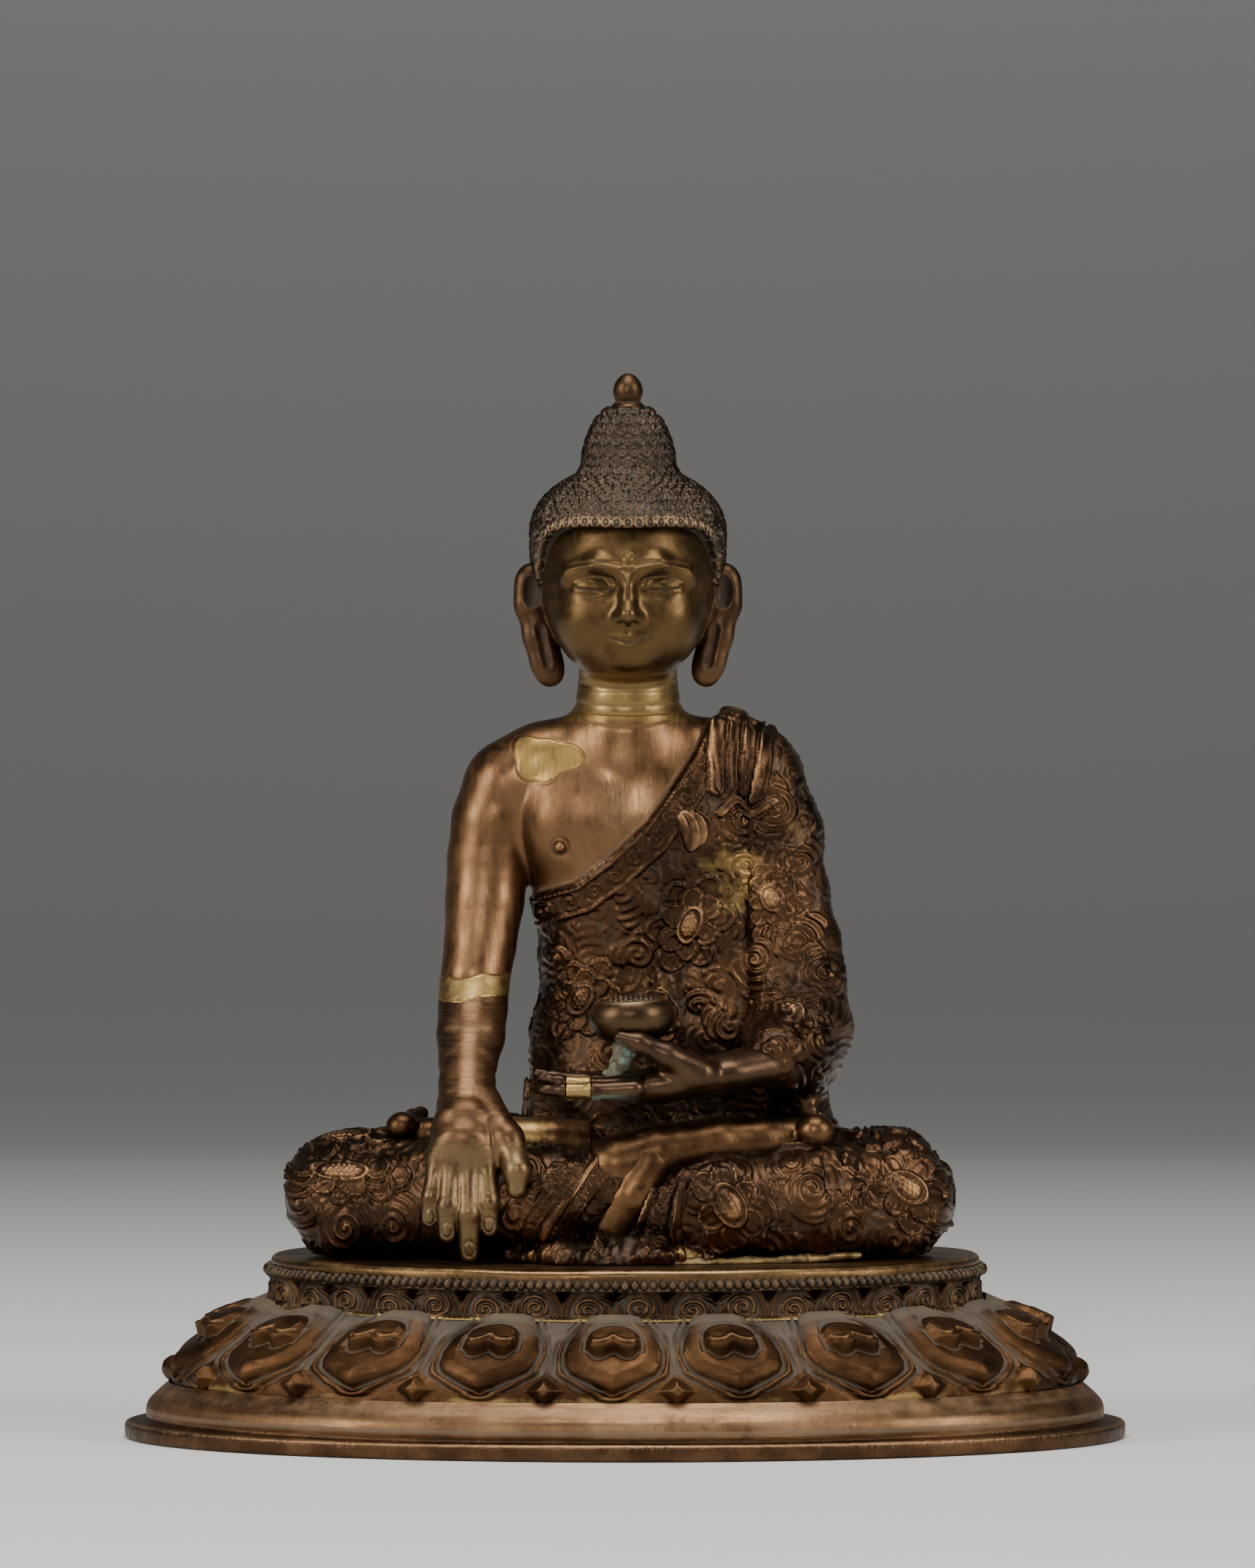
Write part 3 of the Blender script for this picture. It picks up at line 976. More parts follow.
def build_torso():
    h = 0.42
    lo, hi = (-44, -16, 56), (36, 28, 154)

    def f(P):
        v = torso_full(P)
        v = np.maximum(np.maximum(v, P[:, 2] - 151.6), 57.0 - P[:, 2])
        band_top = chain(P, R_ARM, 3)
        # the arm stops at the brass band
        cut_ = (P[:, 2] - 94.0)
        v = np.where((P[:, 0] < -19.5) & (P[:, 2] < 104), np.maximum(v, -cut_), v)
        return v
    P, F, nrm = surface(f, lo, hi, h)
    e = edge_side(P)
    arm = chain(P, R_ARM, 3)
    on_arm = (arm < 1.2) & (P[:, 0] < -12)
    robe = (e > 0) & ~on_arm
    Pr = relax(P, F, nrm, 2)
    nr = vnormals(Pr, F)
    hgt, at = robe_relief(Pr, nr)
    w = ss(0.0, 0.7, e) * (~on_arm)
    hgt = hgt * w
    u, v = front_uv(Pr)
    # bare skin: satin with a lighter breast, brass plug, rings at the neck
    hi_s = np.clip(0.55 * np.exp(-(((u - 862) / 60) ** 2 + ((v - 1110) / 50) ** 2)) + 0.3 * np.exp(-(((u - 640) / 40) ** 2 + ((v - 1120) / 70) ** 2)), 0, 1) * (nr[:, 1] < 0)
    ang = np.arctan2(v - 1043, u - 747)
    rad = 1 + 0.14 * np.cos(3 * ang + 0.6) + 0.08 * np.cos(5 * ang)
    pr = np.sqrt(((u - 747) / 46) ** 2 + ((v - 1043) / 30) ** 2) / rad
    plug = ss(1.06, 0.94, pr) * (nr[:, 1] < 0.2)
    hgt = hgt * 1.0 + np.where(robe, 0, 0.16 * plug - 0.12 * bell(pr - 1.04, 0.05) * (nr[:, 1] < 0.2))
    nip = np.hypot(u - 769, v - 1165)
    hgt += np.where(robe, 0, -0.35 * bell(nip - 12, 2.2) * (nr[:, 1] < 0))
    # soft crease under the armpit, above the elbow
    arcv = v - 1002 + 0.0024 * (u - 862) ** 2
    collar = 0.22 * bell(arcv, 1.8) * ss(74, 56, np.abs(u - 862)) * (nr[:, 1] < 0)
    hgt -= np.where(robe, 0, collar)
    at = {k: np.where(robe, a, 0) for k, a in at.items()}
    at["gold"] = np.where(robe, at["gold"], np.clip(plug + 0.85 * ss(1000, 985, v) * (nr[:, 2] < 0.9) + 0.35 * bell(v - 1005, 8), 0, 1))
    at["hi"] = np.where(robe, at["hi"], hi_s)
    at["lo"] = np.where(robe, at["lo"], 0.7 * bell(nip - 12, 3) * (nr[:, 1] < 0) + 3.0 * collar + 0.8 * ss(-2.0, 0.0, e) * (e < 0) * (~on_arm))
    finish_piece("torso_and_robe", P, F, nrm, hgt, at, [M_SKIN, M_ROBE], ["torso", "shoulder_patch"], (robe & (e > 0.1)).astype(int))


def build_arm_right():
    h = 0.36
    FORE = [(Q(653, 1340, 1), 7.3), (Q(650, 1386, 5), 7.1), (Q(647, 1424, 9.5), 7.0), (Q(643, 1462, 15), 6.0), (Q(642, 1492, 19), 5.35)]
    zb0, zb1 = 91.0, 95.9

    def fore(P):
        return chain(P, FORE, 0.6)

    def f_band(P):
        return np.maximum(fore(P) - 0.07, np.maximum(P[:, 2] - zb1 - 0.10 * P[:, 0] - 3.1 - 0.3 * np.sin(P[:, 0] * 0.8), zb0 - P[:, 2] + 0.10 * P[:, 0] + 3.1 + 0.3 * np.sin(P[:, 0] * 0.6)))
    P, F, nrm = surface(f_band, (-42, -16, 88), (-20, 10, 98), h)
    finish_piece("forearm_band", P, F, nrm, None, {"hi": 0.4 * np.ones(len(P)), "gold": np.ones(len(P))}, [M_BRAZE], ["forearm_braze_band"])
    # hand: back of the hand, knuckles, fingers
    HB = [(Q(642, 1492, 19.5), 5.3), (Q(641, 1520, 22.6), 5.8), (Q(639, 1556, 26.6), 6.8), (Q(637, 1586, 29.2), 7.2)]
    fingers = {
        "little": [(Q(603, 1594, 29.4), 2.2), (Q(593, 1646, 32.0), 2.0), (Q(591, 1677, 32.0), 1.65)],
        "ring": [(Q(621, 1594, 30.2), 2.5), (Q(616, 1658, 33.4), 2.35), (Q(615, 1697, 33.0), 1.9)],
        "middle": [(Q(643, 1594, 30.4), 2.6), (Q(644, 1668, 34.0), 2.45), (Q(645, 1724, 33.0), 1.95)],
        "index": [(Q(666, 1592, 29.8), 2.4), (Q(671, 1652, 33.4), 2.25), (Q(672, 1689, 33.0), 1.75)],
    }
    thumb = [(Q(664, 1518, 23.0), 3.7), (Q(698, 1566, 29.5), 3.2), (Q(711, 1610, 33.4), 2.7), (Q(710, 1636, 34.0), 2.0)]

    def f(P):
        v = chain(P, FORE, 0.6)
        hb = flat_chain(P, HB, (0, 1, 0.45), 0.62, 0.8)
        v = smin(v, hb, 2.0)
        g = None
        for nm in ("little", "ring", "middle", "index"):
            c = chain(P, fingers[nm], 0.8)
            g = c if g is None else smin(g, c, 0.35)
        v = smin(v, g, 2.2)
        v = smin(v, chain(P, thumb, 1.5), 1.8)
        v = np.maximum(v, P[:, 2] - zb0 - 1.6)
        return np.maximum(v, 38.0 - P[:, 2])
    P, F, nrm = surface(f, (-46, -38, 36), (-16, 10, 93), h)
    Pr = relax(P, F, nrm, 1)
    u, v = front_uv(Pr)
    hgt = np.zeros(len(P))
    lo = np.zeros(len(P))
    front = nrm[:, 1] < 0.1
    # nails and joint creases
    for nm, tip in (("little", (590, 1676)), ("ring", (614, 1695)), ("middle", (645, 1721)), ("index", (672, 1688))):
        e = np.sqrt(((u - tip[0]) / 7.0) ** 2 + ((v - tip[1] + 3) / 10.0) ** 2)
        hgt += (0.16 * ss(1.0, 0.8, e) - 0.28 * bell(e - 1.08, 0.14)) * front
        lo += 0.7 * bell(e - 1.08, 0.16) * front
    gold = 0.62 * ss(1530, 1590, v) * front + 0.55 * bell(v - 1414, 6)
    finish_piece("right_forearm_and_hand", P, F, nrm, hgt, {"hi": 0.12 * ss(1500, 1600, v) * front, "lo": lo, "gold": np.clip(gold, 0, 1) * 0.9},
                 [M_HAND], ["right_forearm_hand"], relaxed=1)


# ------------------------------------------------------------------ left arm in its sleeve
L_ARM = [(Q(1022, 1066, -7), 9.2), (Q(1040, 1096, -6.5), 9.3), (Q(1061, 1150, -6), 9.8), (Q(1070, 1230, -5), 9.9), (Q(1086, 1310, -3), 9.9), (Q(1094, 1380, -1), 9.9), (Q(1096, 1422, 1), 10.0)]
L_FORE = [(Q(1096, 1424, 1), 9.8), (Q(1086, 1438, 8), 8.8), (Q(1066, 1452, 13), 7.3)]


def f_sleeve(P):
    v = chain(P, L_ARM, 3)
    v = smin(v, flat_chain(P, L_FORE, (0, 0, 1), 0.86, 3), 4)
    # cloth hanging from the forearm to the thigh
    v = smin(v, flat_chain(P, [(Q(1098, 1450, -2), 7.4), (Q(1092, 1490, -4), 6.6), (Q(1110, 1540, -5), 6.4), (Q(1130, 1572, -6), 5.0)], (1, 0, 0.3), 0.8, 3), 4)
    # ridges of the folds at the elbow
    return v - 0.35 * np.sin(P[:, 2] * 0.55 + P[:, 0] * 0.25 + P[:, 1] * 0.15) * ss(110, 85, P[:, 2])


def build_sleeve():
    P, F, nrm = surface(lambda p: np.maximum(f_sleeve(p), 9.2 - (p[:, 0] - 8.0) + 0 * p[:, 2]), (14, -28, 60), (50, 22, 148), 0.42)
    Pr = relax(P, F, nrm, 2)
    nr = vnormals(Pr, F)
    hgt, at = robe_relief(Pr, nr)
    finish_piece("left_sleeve", P, F, nrm, hgt, at, [M_ROBE], ["left_arm_sleeve"])


# ------------------------------------------------------------------ left hand, bowl and what holds it
def build_left_hand():
    d0 = 21.0
    palm = [(Q(1082, 1456, 10), 6.4), (Q(1040, 1466, 16), 6.0), (Q(1000, 1474, d0 - 1), 5.3), (Q(952, 1484, d0 + 1), 5.2), (Q(905, 1492, d0 + 1), 5.4), (Q(860, 1497, d0 + 1), 4.6)]
    fing = [
        [(Q(872, 1497, d0 + 7.0), 1.9), (Q(815, 1500, d0 + 6.8), 1.75), (Q(775, 1500, d0 + 6.0), 1.5), (Q(748, 1499, d0 + 5.5), 1.15)],
        [(Q(866, 1493, d0 + 3.2), 1.95), (Q(806, 1493, d0 + 3.2), 1.75), (Q(768, 1488, d0 + 3), 1.45), (Q(745, 1482, d0 + 3), 1.1)],
        [(Q(868, 1488, d0 - 0.6), 1.9), (Q(804, 1487, d0 - 0.6), 1.7), (Q(762, 1482, d0 - 0.6), 1.4), (Q(738, 1476, d0 - 0.6), 1.05)],
        [(Q(876, 1486, d0 - 4.2), 1.8), (Q(826, 1484, d0 - 4.2), 1.55), (Q(792, 1479, d0 - 4.4), 1.1)],
    ]
    thumb = [(Q(962, 1474, d0 + 5.0), 3.1), (Q(918, 1452, d0 + 6.5), 2.5), (Q(878, 1434, d0 + 7.0), 2.0), (Q(853, 1426, d0 + 7.2), 1.35)]

    def hand(P):
        v = flat_chain(P, palm, (0, 0, 1), 0.62, 2.5)
        g = None
        for c in fing:
            s = chain(P, c, 1.0)
            g = s if g is None else smin(g, s, 0.35)
        v = smin(v, g, 1.5)
        return smin(v, chain(P, thumb, 1.5), 2.0)
    za, zb = 778, 812
    xa, xb = Q(za, 1497, 26)[0], Q(zb, 1497, 26)[0]

    def rep(P):
        return np.maximum(np.maximum(hand(P) - 0.04, np.maximum(xa - P[:, 0], P[:, 0] - xb)), P[:, 1] + 22.6)

    def rest(P):
        inner = np.maximum(np.maximum(xa - P[:, 0], P[:, 0] - xb), P[:, 1] + 22.6)
        return np.maximum(hand(P), -inner)
    P, F, nrm = surface(rest, (-22, -36, 66), (42, 0, 92), 0.3)
    u, v = front_uv(P)
    hgt = np.zeros(len(P))
    for i, c in enumerate(fing[:3]):
        t = c[-1][0]
        e = np.sqrt(((P[:, 0] - t[0] - 0.8) / 1.6) ** 2 + ((P[:, 1] - t[1]) / 1.0) ** 2)
        hgt += -0.14 * bell(e - 1.0, 0.2) * (nrm[:, 2] > 0.2)
    lo = 0.9 * ss(0.0, -0.7, nrm[:, 2]) * bell(u - 820, 60)
    finish_piece("left_hand", P, F, nrm, hgt, {"hi": 0.25 * ss(0.2, 0.9, nrm[:, 2]), "lo": lo, "gold": 0.0 * u}, [M_HAND2], ["left_hand"], relaxed=1)
    P, F, nrm = surface(rep, (xa - 2, -34, 68), (xb + 2, -20, 80), 0.26)
    finish_piece("finger_repair", P, F, nrm, None, {"gold": np.ones(len(P)), "hi": 0.3 * np.ones(len(P))}, [M_BRAZE], ["finger_repair"], relaxed=1)


def build_bowl():
    d = 20.2
    c = Q(869, 1404, d)
    cx, cy, cz = c[0], c[1], c[2]
    prof = [(0.0, -4.4), (4.2, -4.3), (6.4, -3.6), (8.2, -1.6), (9.0, 0.6), (8.8, 2.4), (8.1, 3.7), (7.5, 4.3), (7.0, 4.55), (6.7, 4.3), (6.5, 3.9)]
    rr = np.array([p[0] for p in prof])
    zz = np.array([p[1] for p in prof])
    q = np.linspace(0, len(prof) - 1, 60)
    rr, zz = np.interp(q, np.arange(len(prof)), rr), np.interp(q, np.arange(len(prof)), zz)
    for _ in range(6):
        rr[1:-1] = 0.25 * rr[:-2] + 0.5 * rr[1:-1] + 0.25 * rr[2:]
        zz[1:-1] = 0.25 * zz[:-2] + 0.5 * zz[1:-1] + 0.25 * zz[2:]
    # heap inside: a low dome of small curls
    hr = np.linspace(6.5, 0.02, 40)
    hz = 3.7 + 2.0 * np.sqrt(np.clip(1 - (hr / 6.9) ** 2, 0, 1)) - 0.75
    rr, zz = np.concatenate([rr, hr]), np.concatenate([zz, hz])
    nt = 220
    t = np.arange(nt) / nt * TAU
    X = rr[None] * np.sin(t)[:, None]
    Y = -rr[None] * np.cos(t)[:, None] * 0.98
    Z = np.broadcast_to(zz[None], X.shape).copy()
    heap = np.zeros(X.shape)
    heap[:, 60:] = 1
    p = 2.1
    kx, ky = X / p, Y / (p * 0.87)
    row = np.round(ky)
    kx2 = kx - 0.5 * (row % 2)
    qd = np.hypot(kx2 - np.round(kx2), (ky - row) * 0.87)
    Z += heap * (0.6 * np.clip(1 - (qd / 0.5) ** 2, 0, 1) - 0.2 * bell(qd - 0.25, 0.1)) * ss(6.5, 5.8, np.broadcast_to(rr[None], X.shape))
    P = np.stack([X, Y, Z], -1).reshape(-1, 3)
    a = math.radians(3.5)
    R = np.array([[math.cos(a), 0, math.sin(a)], [0, 1, 0], [-math.sin(a), 0, math.cos(a)]])
    P = P @ R + np.array([cx, cy, cz])
    F = grid_faces(nt, len(rr))
    hp = heap.reshape(-1)
    zr = np.broadcast_to(zz[None], X.shape).reshape(-1)
    hi = np.clip(bell(zr - 4.4, 0.6) * 0.8 * (1 - hp) + hp * 0.35, 0, 1)
    lo = np.clip(hp * ss(0.3, 0.5, qd.reshape(-1)), 0, 1)
    ob = make_object("bowl", P, F, {"hi": hi, "lo": lo, "gold": hp * 0})
    ob.data.materials.append(M_BOWL)
    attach(ob, "root")
    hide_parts("alms_bowl")
    # corroded metal between palm and bowl
    top = Q(862, 1434, 19.6)
    bot = Q(846, 1482, 20.6)

    def post(P):
        v = chain(P, [(bot, 2.6), ((bot + top) / 2, 1.7), (top, 3.0)], 2.0)
        return v + 0.35 * smooth_noise(P, 2.6, 5, 2)
    P, F, nrm = surface(post, (-9, -30, 68), (9, -12, 86), 0.3)
    finish_piece("bowl_post", P, F, nrm, None, {"lo": 0.4 * np.ones(len(P))}, [M_VERD], ["bowl_braze_post"], relaxed=1)


# ------------------------------------------------------------------ legs
def f_legs(P):
    rt = chain(P, [((-4, 17, 52), 12.4), ((-30, 10, 51.8), 12.6), ((-54, -4, 50.2), 12.4)], 4)
    lt = chain(P, [((5, 17, 52), 12.4), ((30, 10, 51.6), 12.6), ((53, -4, 50.0), 12.2)], 4)
    rk = ell(P, (-56.6, -8, 49.9), (13.3, 14.5, 12.3))
    lk = ell(P, (54.0, -8, 49.9), (13.2, 14.5, 12.5))
    rs = chain(P, [((-56, -12, 49.5), 10.8), ((-36, -19.5, 50.4), 10.9), ((-16, -22.0, 51.2), 9.6), ((0, -21.5, 53.0), 7.6)], 3)
    ls = chain(P, [((54, -12, 49.2), 10.8), ((36, -19.5, 49.4), 11.0), ((18, -22.4, 49.2), 10.2), ((4, -20.0, 47.4), 8.4)], 3)
    robe = smin(smin(smin(rt, rk, 4), rs, 2.6), smin(smin(lt, lk, 4), ls, 2.6), 2.0)
    lap = ell(P, (0.6, 5, 47), (44, 24, 14))
    robe = smin(robe, lap, 3)
    return robe


BARE_R = [(Q(850, 1606, 21.6), 7.8), (Q(905, 1588, 21.4), 7.1), (Q(985, 1573, 19), 6.1), (Q(1045, 1569, 17), 5.5), (Q(1090, 1566, 15.5), 4.8), (Q(1112, 1564, 15), 4.2)]
BARE_L = [(Q(800, 1578, 10), 6.4), (Q(760, 1572, 11), 6.0), (Q(700, 1569, 10), 5.5), (Q(640, 1567, 8), 5.0), (Q(590, 1563, 7), 4.3), (Q(564, 1560, 6), 3.8)]


def build_legs():
    def robe(P):
        v = f_legs(P)
        folds = 0.32 * np.sin(P[:, 0] * 0.42 + P[:, 2] * 0.5) * ss(58, 50, P[:, 2]) * (np.abs(P[:, 0]) < 30)
        v = v - folds
        # crumpled end of the robe spread on the deck in front
        ang = np.arctan2(P[:, 0] + 1.5, -(P[:, 1] + 6.0))
        fan = ell(P, (-1.6, -22.5, 38.2), (22.5, 13.2, 6.0)) + 0.6 * np.sin(ang * 17 + 0.6 * np.sin(P[:, 0] * 0.7)) * ss(3, 14, np.hypot(P[:, 0] + 1.5, P[:, 1] + 10)) + 0.8 * smooth_noise(P, 7.0, 41, 2)
        v = smin(v, fan, 0.7)
        # the hollow under the left hand
        v = smax(v, -ell(P, Q(836, 1533, 18), (9.5, 8.0, 2.9)), 1.0)
        return np.maximum(v, 38.0 - P[:, 2])
    P, F, nrm = surface(robe, (-72, -37, 36), (70, 34, 68), 0.43)
    Pr = relax(P, F, nrm, 2)
    nr = vnormals(Pr, F)
    hgt, at = robe_relief(Pr, nr, ymid=-8.0)
    floor_fade = ss(38.2, 40.0, Pr[:, 2])
    hgt *= floor_fade
    finish_piece("legs_robe", P, F, nrm, hgt, at, [M_ROBE], ["crossed_legs"])

    def foot_r(P):
        v = flat_chain(P, BARE_R, (0, 0.3, 1), 0.9, 0.6)
        for i, (x, y, r) in enumerate(((1121, 1555, 3.9), (1119, 1545, 2.1), (1113, 1542, 1.7), (1107, 1539, 1.5))):
            v = smin(v, ell(P, Q(x, y, 20.0 - i * 2.6), (r, r, r * 0.9)), 0.7)
        return v
    P, F, nrm = surface(foot_r, (-8, -38, 48), (46, -6, 72), 0.36)
    u, v = front_uv(P)
    finish_piece("right_foot", P, F, nrm, None, {"hi": 0.25 * ss(0.2, 0.8, nrm[:, 2]), "lo": 0.4 * ss(0.0, -0.6, nrm[:, 2]), "gold": 0.25 * ss(1000, 900, u)}, [M_LIMB], ["crossed_legs"], relaxed=1)

    def foot_l(P):
        v = flat_chain(P, BARE_L, (0, 0.3, 1), 0.9, 0.6)
        for i, (x, y, r) in enumerate(((553, 1549, 3.4), (560, 1541, 2.1), (568, 1535, 1.9), (578, 1531, 1.7))):
            v = smin(v, ell(P, Q(x, y, 9.5 - i * 2.2), (r, r, r * 0.9)), 0.7)
        return v
    P, F, nrm = surface(foot_l, (-50, -24, 56), (-8, 4, 76), 0.36)
    u, v = front_uv(P)
    finish_piece("left_foot", P, F, nrm, None, {"hi": 0.25 * ss(0.2, 0.8, nrm[:, 2]), "lo": 0.3 * ss(0.0, -0.6, nrm[:, 2]), "gold": 0.7 * bell(u - 722, 45)}, [M_LIMB], ["crossed_legs"], relaxed=1)

    def shin(P):
        return chain(P, [(Q(893, 1600, 24.2), 5.2), (Q(866, 1645, 24.7), 5.6), (Q(842, 1684, 24.2), 4.8)], 0.5)
    P, F, nrm = surface(lambda p: np.maximum(shin(p), 38.0 - p[:, 2]), (-14, -38, 36), (16, -18, 66), 0.4)
    finish_piece("left_shin_bare", P, F, nrm, None, {"hi": 0.2 * ss(0, -0.8, nrm[:, 1]), "gold": 0.0 * P[:, 0]}, [M_LIMB], ["crossed_legs"], relaxed=1)


# ------------------------------------------------------------------ head: neck, face of plain canon proportions, ears, hair
HX = 0.6
Z_CHIN, Z_HAIR = 158.4, 189.6
T3 = (Z_HAIR - Z_CHIN) / 3
Z_NOSE, Z_BROW = Z_CHIN + T3, Z_CHIN + 2 * T3
Z_EYE = Z_CHIN + 1.75 * T3  # half way up a head three and a half thirds tall


def f_head(P):
    q = P.copy()
    q[:, 0] = np.abs(P[:, 0] - HX)
    skull = ell(q, (0, 2.6, 179.5), (17.2, 18.2, 19.6))
    face = ell(q, (0, -2.4, 172.0), (15.2, 13.6, 14.2))
    jaw = ell(q, (0, -4.4, 166.0), (12.2, 11.2, 8.2))
    chin = ell(q, (0, -13.0, 161.9), (4.6, 3.4, 3.3))
    cheek = ell(q, (7.6, -9.4, 169.4), (5.6, 5.2, 5.8))
    f = smin(smin(smin(skull, face, 7), jaw, 5), cheek, 4)
    f = smin(f, chin, 3)
    # nose: bridge from the brow, round tip, wings
    nose = chain(q, [((0, -15.4, Z_BROW - 0.2), 1.15), ((0, -16.9, Z_BROW - 4.6), 1.35), ((0, -18.7, Z_NOSE + 2.0), 1.95)], 1.2)
    nose = smin(nose, ell(q, (1.9, -16.6, Z_NOSE + 1.3), (1.35, 1.7, 1.3)), 1.8)
    f = smin(f, nose, 1.6)
    # brows stand a little proud
    f = smin(f, chain(q, [((1.4, -15.3, Z_BROW - 0.3), 0.9), ((6.4, -14.9, Z_BROW + 1.5), 0.95), ((12.6, -11.6, Z_BROW - 0.6), 0.8)], 3.0), 2.8)
    # eye: sunken socket then the lidded ball
    f = smax(f, -ell(q, (6.7, -18.0, Z_EYE + 0.1), (4.6, 4.1, 2.5)), 2.4)
    f = smin(f, ell(q, (6.6, -12.2, Z_EYE - 0.2), (4.5, 3.5, 2.35)), 1.1)
    # mouth
    zm = Z_CHIN + T3 * 0.66
    f = smin(f, ell(q, (0, -13.2, zm + 0.2), (5.6, 3.4, 3.6)), 3)
    f = smin(f, ell(q, (1.35, -16.0, zm + 0.85), (3.0, 1.25, 0.95)), 0.7)
    f = smin(f, ell(q, (0, -15.9, zm - 1.15), (3.1, 1.35, 1.1)), 0.7)
    # neck
    neck = chain(P, [((HX, 4.8, 148.0), 11.1), ((HX, 4.5, 152), 10.5), ((HX, 4.0, 156), 10.0), ((HX, 2.6, 166), 9.9)], 0.8)
    return smin(f, neck, 2.5)


def f_ear(P, s):
    q = P - np.array([HX, 0, 0])
    q = q * np.array([s, 1, 1])
    # the outer shell: an upright leaf tapering into a long lobe
    out = [((19.7, 3.0, 176.6), 3.3), ((19.6, 2.8, 172.0), 3.3), ((18.1, 2.0, 165.2), 3.0), ((16.7, 1.5, 159.8), 2.8), ((16.0, 1.4, 157.6), 2.6)]
    v = flat_chain(q, out, (0.25, 1.0, 0), 0.62, 2)
    v = smin(v, ell(q, (19.9, 3.2, 175.8), (3.2, 2.6, 4.4)), 1.5)
    # hollow of the ear and slit of the lobe
    v = smax(v, -ell(q, (19.7, 0.2, 174.8), (1.9, 1.9, 3.3)), 0.5)
    v = smax(v, -flat_chain(q, [((18.0, -0.2, 167.0), 0.9), ((16.5, -0.7, 159.8), 0.9)], (1, 0, 0), 0.9, 1), 0.4)
    return v


